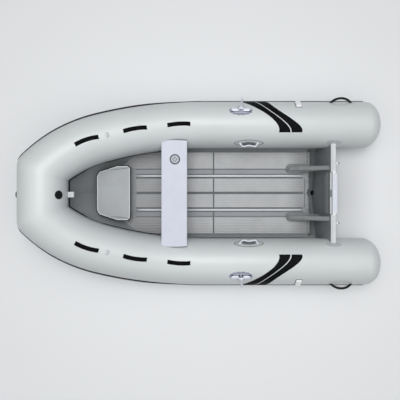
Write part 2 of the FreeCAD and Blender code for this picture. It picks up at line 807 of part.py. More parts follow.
plank = seat_sketch("SeatPlan", size("seatWidth") / 2, size("seatHalf"), size("seatBulge"))
seat_pad = seat_body.newObject("PartDesign::Pad", "SeatPad")
seat_pad.Profile = plank
seat_pad.setExpression("Length", "Sizes.seatDrop")
seat_pad.Reversed = True
hollow = seat_sketch("SeatHollow", size("seatWidth") / 2 - size("seatThick"), 2 * size("seatHalf"), size("seatBulge"))
hollow.AttachmentOffset = Placement(Vector(0, 0, -size("seatThick")), Rotation())
seat_pocket = seat_body.newObject("PartDesign::Pocket", "SeatPocket")
seat_pocket.Profile = hollow
seat_pocket.setExpression("Length", "Sizes.seatDrop")
seat_body.Placement = Placement(Vector(size("seatX"), 0, size("seatTopZ")), Rotation())
doc.recompute()
seat_reach = (size("seatX") - size("seatWidth"), size("seatX") + size("seatWidth"))
near_tube = tube_along(path_spline(*seat_reach), RADIUS + GAP)
bench = seat_body.Shape.cut([near_tube, mirrored(near_tube)])
bench = max(bench.Solids, key=lambda solid: solid.Volume)
cap_seat = Vector(size("capX"), size("capY"), size("seatTopZ"))
add_feature("bench_seat", bench)
add_disc("seat_cap", "capRadius", "capHeight", Placement(cap_seat, Rotation()))


# Fittings on the tubes
def both_sides(label, shape):
    """A port sub-part and its mirror image to starboard."""
    add_feature(f"{label}_port", shape)
    add_feature(f"{label}_starboard", mirrored(shape))


def curved_pad(x, angle, length, width, inner, outer):
    """An oval pad that follows the tube's skin around a point."""
    frame = on_collar(x, angle)
    skin = skin_patch(x - length, x + length, inner, outer)
    oval = Part.Ellipse(Vector(0, 0, 0), length / 2, width / 2).toShape()
    column = Part.Face(Part.Wire([oval])).extrude(Vector(0, 0, RADIUS))
    column.translate(Vector(0, 0, -RADIUS / 2))
    return skin.common(placed(column, frame))


def curved_strip(x, angle, length, width, inner, outer):
    """A straight-edged strip that follows the tube's skin around a point."""
    frame = on_collar(x, angle)
    skin = skin_patch(x - length, x + length, inner, outer)
    return skin.common(placed(box(-length / 2, length / 2, -width / 2, width / 2, -RADIUS / 2, RADIUS / 2), frame))


grips = [
    curved_strip(size(alias), size("gripAngle"), size("gripLength"), size("gripWidth"), 2 * GAP, size("gripThick"))
    for alias in ("gripFirstX", "gripSecondX", "gripThirdX")
]
both_sides("grips", Part.makeCompound(grips))

# Rowlock: an oval base with two ears, and a pin that folds on a bolt through them
rowlock_frame = on_collar(size("rowlockX"), size("rowlockAngle"))
base = curved_pad(
    size("rowlockX"), size("rowlockAngle"), size("rowlockLength"), size("rowlockWidth"), GAP, size("rowlockThick")
)
EAR_IN = size("earGap") / 2
EAR_OUT = EAR_IN + size("earThick")
BOLT_Z = size("earHeight")


def ear(start, end):
    """A rounded lug that stands on the base, bored for the bolt."""
    lug = box(start, end, -size("earRadius"), size("earRadius"), 0, BOLT_Z)
    eye_end = Part.makeCylinder(size("earRadius"), end - start, Vector(start, 0, BOLT_Z), Vector(1, 0, 0))
    return lug.fuse(eye_end)


bolt = Part.makeCylinder(size("boltRadius"), 2 * EAR_OUT, Vector(-EAR_OUT, 0, BOLT_Z), Vector(1, 0, 0))
ears = placed(ear(-EAR_OUT, -EAR_IN).fuse([ear(EAR_IN, EAR_OUT), bolt]), rowlock_frame)
rowlock_base = base.fuse(ears.cut(tube_room))
both_sides("rowlock_base", rowlock_base.removeSplitter())

boss_half = EAR_IN - 1
boss = Part.makeCylinder(size("bossRadius"), 2 * boss_half, Vector(-boss_half, 0, BOLT_Z), Vector(1, 0, 0))
neck = Part.makeCylinder(size("pinNeckRadius"), size("pinNeckTop") - BOLT_Z, Vector(0, 0, BOLT_Z))
shank_length = BOLT_Z + size("pinLength") - size("pinNeckTop")
shank = Part.makeCylinder(size("pinRadius"), shank_length, Vector(0, 0, size("pinNeckTop")))
tip_edge = max(shank.Edges, key=lambda edge: edge.BoundBox.ZMin)
shank = shank.makeChamfer(size("pinTip"), [tip_edge])
bolt_hole = Part.makeCylinder(
    size("boltRadius") + size("boltClear"), 2 * EAR_OUT, Vector(-EAR_OUT, 0, BOLT_Z), Vector(1, 0, 0)
)
pin = boss.fuse([neck, shank]).cut(bolt_hole)
both_sides("rowlock_pin", placed(pin, rowlock_frame))

# Oar clips, carrying handles on the inboard side and lifting handles on the stern
clip = curved_strip(size("clipX"), size("clipAngle"), size("clipLength"), size("clipWidth"), GAP, size("clipThick"))
both_sides("oar_clip", clip)


def loop(length, reach, rod):
    """A bent rod handle on a pad: two splayed legs and the bar between them, its plane square to the skin."""
    points = [
        Vector(-length / 2, 0, 0),
        Vector(-length / 2 + reach / 2, 0, reach),
        Vector(length / 2 - reach / 2, 0, reach),
        Vector(length / 2, 0, 0),
    ]
    return rod_through(points, 2 * rod, rod)


pad = curved_pad(
    size("handleX"), size("handleAngle"), size("handlePadLength"), size("handlePadWidth"), GAP, size("handlePadThick")
)
both_sides("handle_pad", pad)
handle = loop(size("handleLength"), size("handleReach"), size("handleRod"))
handle = placed(handle, on_collar(size("handleX"), size("handleAngle")))
both_sides("carry_handle", handle.cut([tube_room, pad]))


def bow_handle(length, reach, rod, sink):
    """A rod bent to one arc, both ends sunk in its pad."""
    arc = Part.Arc(Vector(-length / 2, 0, -sink), Vector(0, 0, reach), Vector(length / 2, 0, -sink))
    start = arc.value(arc.FirstParameter)
    ring = Part.Wire([Part.Circle(start, arc.tangent(arc.FirstParameter)[0], rod).toShape()])
    return Part.Wire([arc.toShape()]).makePipeShell([ring], True, True)


stern_handle = bow_handle(
    size("sternHandleLength"), size("sternHandleReach"), size("sternHandleRod"), size("sternHandleRod")
)
stern_handle = placed(stern_handle, on_collar(size("sternHandleX"), size("sternHandleAngle")))
both_sides("stern_handle", stern_handle.cut(tube_room))

# Bow fittings: the filling valve, a white painter block under it and the towing ring outside
def on_bow(angle, y):
    """Frame on the flat bow tube: Z straight out of it, the angle from its crest towards the cockpit."""
    lean = math.radians(angle)
    normal = Vector(-math.sin(lean), 0, math.cos(lean))
    skin = Vector(BOW_X, y, sheer(BOW_X)) + normal * RADIUS
    return Placement(skin, Rotation(Vector(0, 1, 0).cross(normal), Vector(0, 1, 0), normal, "ZXY"))


clear = Placement(Vector(0, 0, GAP), Rotation())
add_disc("air_valve", "valveRadius", "valveHeight", on_bow(size("valveAngle"), size("valveY")).multiply(clear))

block = doc.addObject("Part::Box", "painter_block")
block.Label = "painter_block"
block.setExpression("Length", "Sizes.bowBlockHeight")
block.setExpression("Width", "Sizes.bowBlockWidth")
block.setExpression("Height", "Sizes.bowBlockLength - Sizes.seatGap")
block_corner = Placement(Vector(-size("bowBlockHeight") / 2, -size("bowBlockWidth") / 2, GAP), Rotation())
block.Placement = on_bow(size("bowBlockAngle"), size("valveY")).multiply(block_corner)
parts.append(block)

ring = doc.addObject("Part::Torus", "tow_ring")
ring.Label = "tow_ring"
ring.setExpression("Radius1", "Sizes.bowRingRadius")
ring.setExpression("Radius2", "Sizes.bowRingRod")
ring_centre = Placement(Vector(0, 0, size("strakeDepth") + size("bowRingRod") + 1), Rotation())
ring.Placement = on_bow(-90, size("valveY")).multiply(ring_centre)
parts.append(ring)

doc.recompute()
for part in parts:
    failed = [state for state in part.State if state in ("Invalid", "Error")]
    if failed or part.Shape.isNull() or not part.Shape.isValid():
        raise SystemExit(f"{part.Label} failed: {part.State}")
    print(part.Label, len(part.Shape.Solids), round(part.Shape.Volume / 1e6, 3))
os.makedirs("parts", exist_ok=True)
for part in parts:
    part.Shape.exportStep(f"parts/{part.Label}.step")
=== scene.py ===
"""Looks of a rigid inflatable boat: an aluminium hull and deck inside an inflated fabric collar, afloat.

Metres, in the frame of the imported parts: +X to the bow, +Y to port, +Z up, the water's level at zero.
"""

import json
import math

import bpy
import numpy as np
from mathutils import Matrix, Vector


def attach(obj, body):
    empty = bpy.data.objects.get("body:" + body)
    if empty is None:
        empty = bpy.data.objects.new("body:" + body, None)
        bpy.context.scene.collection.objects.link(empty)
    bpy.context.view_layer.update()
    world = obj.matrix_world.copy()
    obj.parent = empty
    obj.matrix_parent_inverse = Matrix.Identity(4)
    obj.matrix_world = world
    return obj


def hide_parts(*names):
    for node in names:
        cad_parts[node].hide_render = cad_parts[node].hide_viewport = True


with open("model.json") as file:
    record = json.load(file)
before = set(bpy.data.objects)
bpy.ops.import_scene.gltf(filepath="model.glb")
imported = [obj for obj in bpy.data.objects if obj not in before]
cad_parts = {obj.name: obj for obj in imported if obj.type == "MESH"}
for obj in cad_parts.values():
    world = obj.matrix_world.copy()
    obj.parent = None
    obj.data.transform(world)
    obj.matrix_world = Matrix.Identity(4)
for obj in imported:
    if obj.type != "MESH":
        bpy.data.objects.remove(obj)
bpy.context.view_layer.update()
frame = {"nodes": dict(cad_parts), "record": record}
nodes = frame["nodes"]

# The collar's path, as the parts have it
RADIUS = 0.2185
AXIS_Z = 0.2265
BOW_X = 1.42
CORNER_Y = 0.213
CORNER = math.radians(44.3)
QUARTER_RADIUS = 1.148
QUARTER_ANGLE = math.radians(28.4)
SIDE_RADIUS = 3.186
SHEER_START, SHEER_RISE, SHEER_POWER = 0.2, 0.286, 1.35
BOW_Z = AXIS_Z + SHEER_RISE
TUBE_END = -1.535
CONE_LENGTH = 0.15
CHAMBER_BREAK = 0.48
SIDES = (("port", 1), ("starboard", -1))


def xyz(x, y, z):
    """Points of three coordinates, each a number or a grid."""
    return np.stack(np.broadcast_arrays(x, y, z), -1)


def full_turn(count):
    """Even angles round a circle, the first not repeated."""
    return np.linspace(0, 2 * math.pi, count, endpoint=False)


def sheer(x):
    """Height of the tube's axis: level, then a power curve of the way to the bow."""
    run = np.clip((x - SHEER_START) / (BOW_X - SHEER_START), 0, 1)
    return AXIS_Z + SHEER_RISE * run**SHEER_POWER


def axis_point(run):
    """Axis and heading of the port tube, a run of length aft of the bow's corner.

    A quarter arc, a long side arc and a straight, each adding its own chord to the point before it.
    """
    quarter = np.clip(run / QUARTER_RADIUS, 0, QUARTER_ANGLE)
    side_turn = math.pi / 2 - CORNER - QUARTER_ANGLE
    past = run - QUARTER_RADIUS * QUARTER_ANGLE
    side = np.clip(past / SIDE_RADIUS, 0, side_turn)
    straight = np.clip(past - SIDE_RADIUS * side_turn, 0, None)
    ahead = np.clip(run, None, 0)
    first = CORNER + quarter
    middle = CORNER + QUARTER_ANGLE
    second = middle + side
    x = BOW_X - QUARTER_RADIUS * (math.cos(CORNER) - np.cos(first))
    x = x - SIDE_RADIUS * (math.cos(middle) - np.cos(second)) - straight - ahead * math.sin(CORNER)
    y = CORNER_Y + QUARTER_RADIUS * (np.sin(first) - math.sin(CORNER))
    y = y + SIDE_RADIUS * (np.sin(second) - math.sin(middle)) + ahead * math.cos(CORNER)
    return x, y, first + side


run_table = np.linspace(3.3, 0, 4001)
x_table = axis_point(run_table)[0]


def run_at(x):
    """Run along the port tube at which its axis reaches a station."""
    return np.interp(x, x_table, run_table)


def skin(x, angle, lift, side=1):
    """Points on a tube: the axis, plus its radius and a lift, turned outboard from the crest by an angle."""
    px, py, heading = axis_point(run_at(np.asarray(x, float)))
    reach = RADIUS + lift
    out = reach * np.sin(angle)
    return xyz(
        px + out * np.cos(heading), side * (py + out * np.sin(heading)), sheer(px) + reach * np.cos(angle)
    )


def collar_rows(angles, lifts):
    """Sections of the whole collar from the port end round the bow to the starboard end, and their stations.

    Each section is the polyline of angles and lifts. Near a corner it leans towards the mitre plane, by the
    half turn's tangent times its distance out, and then neighbours are averaged to round the fold.
    """
    lean = math.tan(CORNER / 2)
    reach = (RADIUS + lifts) * np.sin(angles)
    height = (RADIUS + lifts) * np.cos(angles)
    run = np.concatenate([np.linspace(run_at(TUBE_END), 0.3, 120)[:-1], np.linspace(0.3, 0.004, 45)])
    share = np.clip(1 - run / 0.24, 0, 1)[:, None]
    px, py, heading = axis_point(run[:, None] - share * reach * lean)
    axis_x = axis_point(run)[0]
    leg = xyz(px + reach * np.cos(heading), py + reach * np.sin(heading), sheer(axis_x)[:, None] + height)
    across = np.linspace(CORNER_Y - 0.004, 0, 32)[:, None]
    flat = xyz(BOW_X + reach, across + across / CORNER_Y * reach * lean, BOW_Z + height)
    half = np.concatenate([leg, flat])
    rows = np.concatenate([half, half[-2::-1] * (1, -1, 1)])
    near = np.exp(-((np.concatenate([run, CORNER_Y - across[:, 0]]) / 0.12) ** 2))
    near = np.concatenate([near, near[-2::-1]])[1:-1, None, None]
    for _ in range(30):
        rows[1:-1] += near * 0.5 * ((rows[:-2] + rows[2:]) / 2 - rows[1:-1])
    stations = np.concatenate([axis_x, np.full(len(across), BOW_X)])
    return rows, np.concatenate([stations, stations[-2::-1]])


# Meshes: a shape is a pair of points and faces
def piece(name, shape, look, body="boat", sharp=35, replaced=(), slot=None):
    """A mesh at its own place, with a look, on a body of the boat."""
    points, faces = shape
    mesh = bpy.data.meshes.new(name)
    mesh.from_pydata(np.asarray(points, float).reshape(-1, 3).tolist(), [], np.asarray(faces).tolist())
    mesh.update()
    mesh.shade_smooth()
    mesh.set_sharp_from_angle(angle=math.radians(sharp))
    mesh.materials.append(look)
    made = bpy.data.objects.new(name, mesh)
    bpy.context.scene.collection.objects.link(made)
    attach(made, body)
    if replaced:
        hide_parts(*replaced)
    slot = slot or slot_of[look.name]


def grid_faces(rows, columns, wrap=False, start=0):
    """Quads of a grid of points, each a corner, its two neighbours and the one across."""
    row, column = np.meshgrid(np.arange(rows - 1), np.arange(columns if wrap else columns - 1), indexing="ij")
    following = (column + 1) % columns
    quads = [row * columns + column, (row + 1) * columns + column]
    quads += [(row + 1) * columns + following, row * columns + following]
    return np.stack(quads, -1).reshape(-1, 4) + start


def outward(points, faces):
    """The faces, turned round if they enclose a negative volume."""
    points = np.asarray(points, float).reshape(-1, 3)
    a, b, c, d = (points[faces[:, i]] for i in range(4))
    volume = np.einsum("ij,ij->i", a, np.cross(b, c)) + np.einsum("ij,ij->i", a, np.cross(c, d))
    return faces if volume.sum() > 0 else faces[:, ::-1]


def joined_rings(rings):
    """Rings of equal count, joined in turn, as a shape."""
    return rings.reshape(-1, 3), outward(rings, grid_faces(*rings.shape[:2], wrap=True))


def closed_tube(rings):
    """Rings of equal count, joined in turn and closed by a centre at each end."""
    first = np.repeat(rings[:1].mean(1, keepdims=True), rings.shape[1], 1)
    last = np.repeat(rings[-1:].mean(1, keepdims=True), rings.shape[1], 1)
    return joined_rings(np.concatenate([first, rings, last]))


def closed_loop(rings):
    """Rings of equal count, joined in turn and the last to the first."""
    return joined_rings(np.concatenate([rings, rings[:1]]))


def slab(top, bottom):
    """A closed sheet between two grids: the top, the underside and a rim round both."""
    rows, columns = top.shape[:2]
    lid = grid_faces(rows, columns)
    floor = grid_faces(rows, columns, start=rows * columns)[:, ::-1]
    border = [np.arange(columns), np.arange(1, rows) * columns + columns - 1]
    border += [np.arange(columns - 2, -1, -1) + (rows - 1) * columns, np.arange(rows - 2, 0, -1) * columns]
    border = np.concatenate(border)
    following = np.roll(border, -1)
    rim = np.stack([border, following, following + rows * columns, border + rows * columns], -1)
    points = np.concatenate([top.reshape(-1, 3), bottom.reshape(-1, 3)])
    return points, outward(points, np.concatenate([lid, floor, rim]))


def sheet(top, thick):
    """A closed sheet of one thickness under a grid."""
    return slab(top, top - (0, 0, thick))


def level_slab(top, z):
    """A closed sheet under a grid, its underside level."""
    return slab(top, top * (1, 1, 0) + (0, 0, z))


def skin_sheet(x, angle, lift, side, under=-0.0008):
    """A closed sheet on a tube, its top lifted over the skin."""
    return slab(skin(x, angle, lift, side), skin(x, angle, under, side))


def together(shapes):
    """Several shapes as one: their points in turn, with each shape's faces counted on."""
    counts = np.cumsum([0] + [len(points) for points, _ in shapes])
    faces = [f + start for (_, f), start in zip(shapes, counts)]
    return np.concatenate([points for points, _ in shapes]), np.concatenate(faces)


def on_side(shape, side):
    """A port shape as it is, or on the other side of the centreline."""
    points, faces = shape
    return shape if side > 0 else (points * (1, -1, 1), faces[:, ::-1])


def both(*shapes):
    """Shapes together with their mirror images."""
    shape = together(shapes)
    return together([shape, on_side(shape, -1)])


def frames_along(path):
    """Two unit normals at each point of a path, carried on with no twist."""
    tangent = np.gradient(path, axis=0)
    tangent /= np.linalg.norm(tangent, axis=1, keepdims=True)
    normals = []
    normal = np.cross(tangent[0], np.eye(3)[np.argmin(np.abs(tangent[0]))])
    for direction in tangent:
        normal = normal - direction * (normal @ direction)
        normal = normal / np.linalg.norm(normal)
        normals.append(normal)
    return np.array(normals), np.cross(tangent, normals)


def rod(path, radius, sides=16):
    """A closed round bar: a circle of the radius at each point of the path, across its direction."""
    path = np.asarray(path, float)
    first, second = frames_along(path)
    turn = full_turn(sides)[None, :, None]
    radius = np.broadcast_to(radius, len(path))[:, None, None]
    ring = np.cos(turn) * first[:, None] + np.sin(turn) * second[:, None]
    return closed_tube(path[:, None] + radius * ring)


def smooth_path(corners, bend, steps=6):
    """A polyline whose corners are rounded: each becomes a quadratic arc starting a bend's length away."""
    corners = np.asarray(corners, float)
    path = [corners[:1]]
    t = np.linspace(0, 1, steps)[:, None]
    for before, corner, after in zip(corners[:-2], corners[1:-1], corners[2:]):
        start = corner + (before - corner) * min(0.48, bend / np.linalg.norm(before - corner))
        end = corner + (after - corner) * min(0.48, bend / np.linalg.norm(after - corner))
        path.append((1 - t) ** 2 * start + 2 * t * (1 - t) * corner + t**2 * end)
    path.append(corners[-1:])
    return np.concatenate(path)


def lathe(profile, origin, axis=(0, 0, 1), sides=32):
    """A closed turned shape: radius and height pairs, spun about an axis from an origin."""
    axis = np.asarray(axis, float) / np.linalg.norm(axis)
    first = np.cross(axis, np.eye(3)[np.argmin(np.abs(axis))])
    first /= np.linalg.norm(first)
    second = np.cross(axis, first)
    turn = full_turn(sides)[None, :, None]
    radius, height = np.array(profile, float).T[:, :, None, None]
    return closed_tube(origin + height * axis + radius * (np.cos(turn) * first + np.sin(turn) * second))


def shares(count, edge=0.02):
    """Shares from 0 to 1: even ones, with closer steps near both ends for a rolled border."""
    start = edge * np.array([0, 0.12, 0.4, 0.7])
    return np.concatenate([start, np.linspace(edge, 1 - edge, count), 1 - start[::-1]])


def edge_fall(border, roll):
    """How far a sheet falls near its border: a quarter round of that radius."""
    return roll * (1 - np.sqrt(1 - (1 - np.clip(border / roll, 0, 1)) ** 2))


# Materials
def linear(code):
    """The linear colour of an sRGB hex code: each channel to the usual power law, with its straight foot."""
    channels = np.array([int(code[i : i + 2], 16) / 255 for i in (1, 3, 5)])
    low, high = channels / 12.92, ((channels + 0.055) / 1.055) ** 2.4
    return (*np.where(channels <= 0.04045, low, high).tolist(), 1.0)


def add(tree, kind, links=(), **settings):
    """Adds a node. Settings name its attributes or its sockets, and links pair an input with an output."""
    made = tree.nodes.new(kind)
    for name, value in settings.items():
        if hasattr(made, name):
            setattr(made, name, value)
        else:
            made.inputs[name.replace("_", " ")].default_value = value
    for socket, source in links:
        tree.links.new(made.inputs[socket], source)
    return made


def ramp(tree, value, start, end, low=0.0, high=1.0, kind="SMOOTHSTEP"):
    """A value mapped from one range to another and held at its ends."""
    ranges = {"From_Min": start, "From_Max": end, "To_Min": low, "To_Max": high}
    made = add(tree, "ShaderNodeMapRange", [("Value", value)], interpolation_type=kind, **ranges)
    return made.outputs["Result"]


def blend(tree, share, first, second):
    """A mix of two colours by a share. A colour is a hex code or another node's output."""
    made = add(tree, "ShaderNodeMix", [(0, share)], data_type="RGBA")
    for socket, colour in ((6, first), (7, second)):
        if isinstance(colour, str):
            made.inputs[socket].default_value = linear(colour)
        else:
            tree.links.new(made.inputs[socket], colour)
    return made.outputs[2]


def maths(tree, operation, first, second):
    """Two values joined by a sum, a product or the greater of the two."""
    return add(tree, "ShaderNodeMath", [(0, first), (1, second)], operation=operation).outputs[0]


def material(name, colour, roughness, **shader_settings):
    """A material whose shader has its constants on its own sockets; patterns are linked in afterwards."""
    made = bpy.data.materials.new(name)
    made.use_nodes = True
    tree = made.node_tree
    tree.nodes.clear()
    shader = add(
        tree, "ShaderNodeBsdfPrincipled", Base_Color=linear(colour), Roughness=roughness, **shader_settings
    )
    add(tree, "ShaderNodeOutputMaterial", [("Surface", shader.outputs["BSDF"])])
    made.diffuse_color = linear(colour)
    return made


def parts_of(made):
    """A material's tree, its shader and the object's own coordinates."""
    tree = made.node_tree
    shader = next(n for n in tree.nodes if n.type == "BSDF_PRINCIPLED")
    coords = next((n for n in tree.nodes if n.type == "TEX_COORD"), None) or add(tree, "ShaderNodeTexCoord")
    return tree, shader, coords.outputs["Object"]


def relief(made, height, depth_mm, strength):
    """Raises the surface by a pattern, on top of any relief it has."""
    tree, shader, _ = parts_of(made)
    links = [("Height", height)]
    if shader.inputs["Normal"].is_linked:
        links.append(("Normal", shader.inputs["Normal"].links[0].from_socket))
    bump = add(tree, "ShaderNodeBump", links, Strength=strength, Distance=depth_mm / 1000)
    tree.links.new(shader.inputs["Normal"], bump.outputs["Normal"])


def grain(made, size_mm, depth_mm, strength, stretch):
    """Fine relief of a grain of a real size, drawn out along an axis where it is brushed or rolled."""
    tree, _, coords = parts_of(made)
    stretched = add(tree, "ShaderNodeMapping", [("Vector", coords)], Scale=stretch).outputs["Vector"]
    noise = add(tree, "ShaderNodeTexNoise", [("Vector", stretched)], Scale=1000 / size_mm, Detail=3.0)
    relief(made, noise.outputs["Fac"], depth_mm, strength)


def threads(made, axis, strength):
    """Even threads across an axis: a sine of 3 mm. A wave texture's own pitch is 0.314 m at scale 1."""
    tree, _, coords = parts_of(made)
    wave = add(tree, "ShaderNodeTexWave", [("Vector", coords)], bands_direction=axis, Scale=314.159 / 3)
    wave.inputs["Distortion"].default_value = 0.0
    relief(made, wave.outputs["Fac"], 0.05, strength)


slot_of = {}
main_finish = {}


def finish(name, slot, colour, dark, light, patch_mm, roughness, grained=None, stretch=(1, 1, 1), **settings):
    """A material for a slot: its colour drifts between two shades in patches, and it has a fine grain.

    A grain is its size and depth in millimetres and its strength. The first finish of a slot is its main one.
    """
    made = material(name, colour, roughness, **settings)
    tree, shader, coords = parts_of(made)
    noise = add(tree, "ShaderNodeTexNoise", [("Vector", coords)], Scale=1000 / patch_mm, Detail=4.0)
    share = ramp(tree, noise.outputs["Fac"], 0.25, 0.75, kind="LINEAR")
    tree.links.new(shader.inputs["Base Color"], blend(tree, share, dark, light))
    if grained:
        grain(made, *grained, stretch)
    slot_of[name] = slot
    main_finish.setdefault(slot, made)
    return made


# PVC-coated polyester, calendered smooth: pale grey, a soft broad sheen and a faint weave.
# Threads are 0.5 mm apart; they are drawn 3 mm apart so that they show
coated_fabric = finish(
    "pvc_coated_fabric", "tube_fabric", "#ced3d4", "#cbd0d1", "#d1d6d7", 420, 0.34, Specular_IOR_Level=0.6
)
threads(coated_fabric, "X", 0.25)
threads(coated_fabric, "Z", 0.25)

# Grey coated fabric for flaps: the collar's cloth in a mid grey
grey_fabric = finish(
    "grey_coated_fabric", "tube_fabric", "#b6bbbd", "#b1b6b8", "#bbc0c2", 90, 0.5
)
threads(grey_fabric, "X", 0.3)

# Welded patches: the collar's cloth a shade darker
mark_fabric = finish(
    "welded_patch_fabric", "tube_fabric", "#bcc1c3", "#b7bcbe", "#c1c6c8", 40, 0.45, (3, 0.1, 0.4)
)

# Extruded rubber rubbing strake: dark grey and dull, with a rolled grain
strake_rubber = finish(
    "extruded_strake_rubber", "strake_rubber", "#2b2e30", "#272a2c", "#313436", 60, 0.6, (4, 0.2, 0.4),
    Specular_IOR_Level=0.2
)

# The same extrusion in pale grey across the bow
front_rubber = finish(
    "extruded_bow_strake", "strake_rubber", "#a5aaac", "#a0a5a7", "#abb0b2", 60, 0.55, (4, 0.2, 0.4)
)

# Black PVC appliqué, welded on: a pebble-embossed sheet with a slight gloss
black_patch = finish(
    "embossed_black_pvc", None, "#08090a", "#08090a", "#0f1112", 35, 0.6, (3, 0.4, 0.5),
    Specular_IOR_Level=0.05
)

# Moulded black rubber: dull, faintly dusty. It also colours pieces of painted shade:
# the strip under the bow tube, the ring round the locker lid, and the rims and studs at the rowlocks
black_rubber = finish(
    "moulded_black_rubber", "black_rubber", "#0b0c0d", "#0c0d0e", "#161819", 25, 0.55, (1.5, 0.15, 0.5),
    Specular_IOR_Level=0.15
)

# Ribbed black strip: moulded rubber, matt
strip_rubber = finish(
    "ribbed_black_strip", "black_rubber", "#060607", "#060707", "#0b0c0d", 25, 0.6, (1.5, 0.12, 0.5),
    Specular_IOR_Level=0.04
)

# Extruded grey edge trim
trim_rubber = finish(
    "extruded_edge_trim", "black_rubber", "#565c66", "#515761", "#5c626c", 30, 0.55, (1.5, 0.08, 0.4)
)

# Caulking rubber between planks: dark grey and matt. Its strips in the middle groove and beside the rails are
# painted shade
caulk_and_shade_rubber = finish(
    "deck_caulking_and_shade", "black_rubber", "#66696b", "#616567", "#6b6e70", 40, 0.65, (2, 0.12, 0.4),
    Specular_IOR_Level=0.2
)

# Bilge mat: dark grey rubber, pebbled; darker than the hull as painted shade of the well
well_shade_rubber = finish(
    "well_shade_mat_rubber", "black_rubber", "#6a6e70", "#666a6c", "#6f7375", 40, 0.6, (3, 0.2, 0.5),
    Specular_IOR_Level=0.2
)

# Deck edge seals: extruded mid grey rubber
seal_rubber = finish(
    "deck_edge_seal", "black_rubber", "#85898b", "#808486", "#8a8e90", 60, 0.6, (2, 0.15, 0.4),
    Specular_IOR_Level=0.3
)

# Powder-coated aluminium hull: mid grey, with the coat's orange peel of about 2 mm, drawn at 4
finish(
    "powder_coated_hull", "hull_paint", "#7d8183", "#787c7e", "#838789", 160, 0.5, (4, 0.08, 0.5)
)

# Powder-coated deck plate: the bands and grooves between the planks, darker than the planks as painted shade
# of those recesses
finish(
    "powder_coated_deck", "deck_paint", "#888c90", "#84888c", "#8c9094", 130, 0.5, (3, 0.08, 0.4)
)

# Pale rolled bead round the lid and its ledges: much paler than the lid, a painted highlight of the rolled
# edge
bead_painted_highlight = finish(
    "lid_bead_painted_highlight", "deck_paint", "#dfe2e3", "#dadddf", "#e4e7e8", 60, 0.4, (3, 0.05, 0.4)
)

# Bright anodised extrusion: satin metal drawn lengthwise
rail_metal = finish(
    "anodised_rail_extrusion", "deck_paint", "#cdd1d3", "#c8ccce", "#d3d6d8", 60, 0.34, (1.5, 0.05, 0.4),
    (0.06, 1, 1)
)

# Moulded plastic lip: mid grey and satin, with a leather-like grain
lip_plastic = finish(
    "moulded_lip_plastic", "deck_paint", "#868a8c", "#7e8284", "#909495", 30, 0.42, (5, 0.5, 0.6)
)

# Powder-coated pressed lid: smoother than the planks, faint orange peel
lid_paint = finish(
    "powder_coated_lid", "deck_paint", "#9ca0a3", "#989c9f", "#a0a4a7", 140, 0.45, (4, 0.07, 0.4)
)

# Powder-coated transom plate: mid grey, the same orange peel
finish(
    "powder_coated_transom", "transom_paint", "#7f8386", "#7a7e81", "#85898c", 120, 0.5, (4, 0.08, 0.5)
)

# Powder-coated transom capping: pale cool grey
cap_paint = finish(
    "powder_coated_capping", "transom_paint", "#d6d9dc", "#d2d5d8", "#dadde0", 70, 0.42, (3, 0.06, 0.4)
)

# Cast aluminium knees under a mid grey coat
knee_paint = finish(
    "coated_knee_casting", "transom_paint", "#7a7e7f", "#75797a", "#808485", 45, 0.45, (2.5, 0.1, 0.5)
)

# Rolled HDPE pad: bluish white and waxy
pad_plastic = finish(
    "rolled_pad_plastic", "pad_plastic", "#dadee8", "#d6dae4", "#dee2ec", 45, 0.38, (2.5, 0.15, 0.4)
)

# Moulded engine pad's fore face: mid grey as painted shade of this forward-facing side; dull, finely pebbled
pad_painted_shade = finish(
    "engine_pad_painted_shade", "pad_plastic", "#777b7d", "#727678", "#7d8183", 40, 0.55, (2, 0.12, 0.5)
)

# Anodised aluminium plank: lavender white, brushed across the boat
seat_metal = finish(
    "anodised_plank", "seat_aluminium", "#cacedb", "#c7cbd8", "#cdd1de", 90, 0.45, (1.5, 0.06, 0.5),
    (1, 0.08, 1)
)

# Grey moulded plastic: satin, with a fine spark-eroded texture
grey_plastic = finish(
    "moulded_grey_plastic", "grey_plastic", "#b3b6bf", "#adb0b9", "#babdc6", 30, 0.45, (1.2, 0.12, 0.5)
)

# Dark grey plastic: the welted edges round the handles' pads, and painted shadow under the handles' bars and
# round the oar clips
welt_and_shade_plastic = finish(
    "handle_welt_and_painted_shadow", "grey_plastic", "#6d7275", "#686d70", "#74797b", 25, 0.5, (1.5, 0.1, 0.5)
)

# The handles' welded pads: the collar's cloth a shade darker
pad_fabric = finish(
    "handle_patch_fabric", "grey_plastic", "#bbc0c2", "#b6bbbd", "#c0c5c7", 50, 0.5, (3, 0.12, 0.5)
)

# Slate grey moulded ring
ring_plastic = finish(
    "moulded_slate_ring", "grey_plastic", "#3f454c", "#3a4047", "#454b52", 25, 0.42, (1.2, 0.08, 0.4)
)

# White moulded nylon: clean and slightly translucent looking
white_plastic = finish(
    "moulded_white_nylon", "white_plastic", "#dfe0e1", "#dadcdc", "#e5e6e6", 25, 0.35, (1.2, 0.08, 0.4)
)

# Fairlead nylon: a greyer white
fairlead_plastic = finish(
    "moulded_fairlead_nylon", "white_plastic", "#c2c5c7", "#bcbfc1", "#c8cbcd", 20, 0.42, (1.2, 0.08, 0.4)
)

# Pad stops and eye caps: bright white acetal
bright_plastic = finish(
    "moulded_white_acetal", "white_plastic", "#f6f7f8", "#f2f3f4", "#fafafb", 20, 0.3, (1.2, 0.05, 0.3)
)

# Polished stainless steel: bright, with faint polishing lines
stainless = finish(
    "polished_stainless", "stainless", "#dfe0e4", "#d8d9de", "#e6e7ea", 20, 0.3, (1.2, 0.03, 0.4),
    (0.2, 1, 1), Metallic=0.6
)

# Hinge leaves under the lid's coat
hinge_paint = finish(
    "coated_hinge_leaf", "stainless", "#404446", "#3b3f41", "#46494b", 25, 0.45, (1.5, 0.05, 0.4)
)

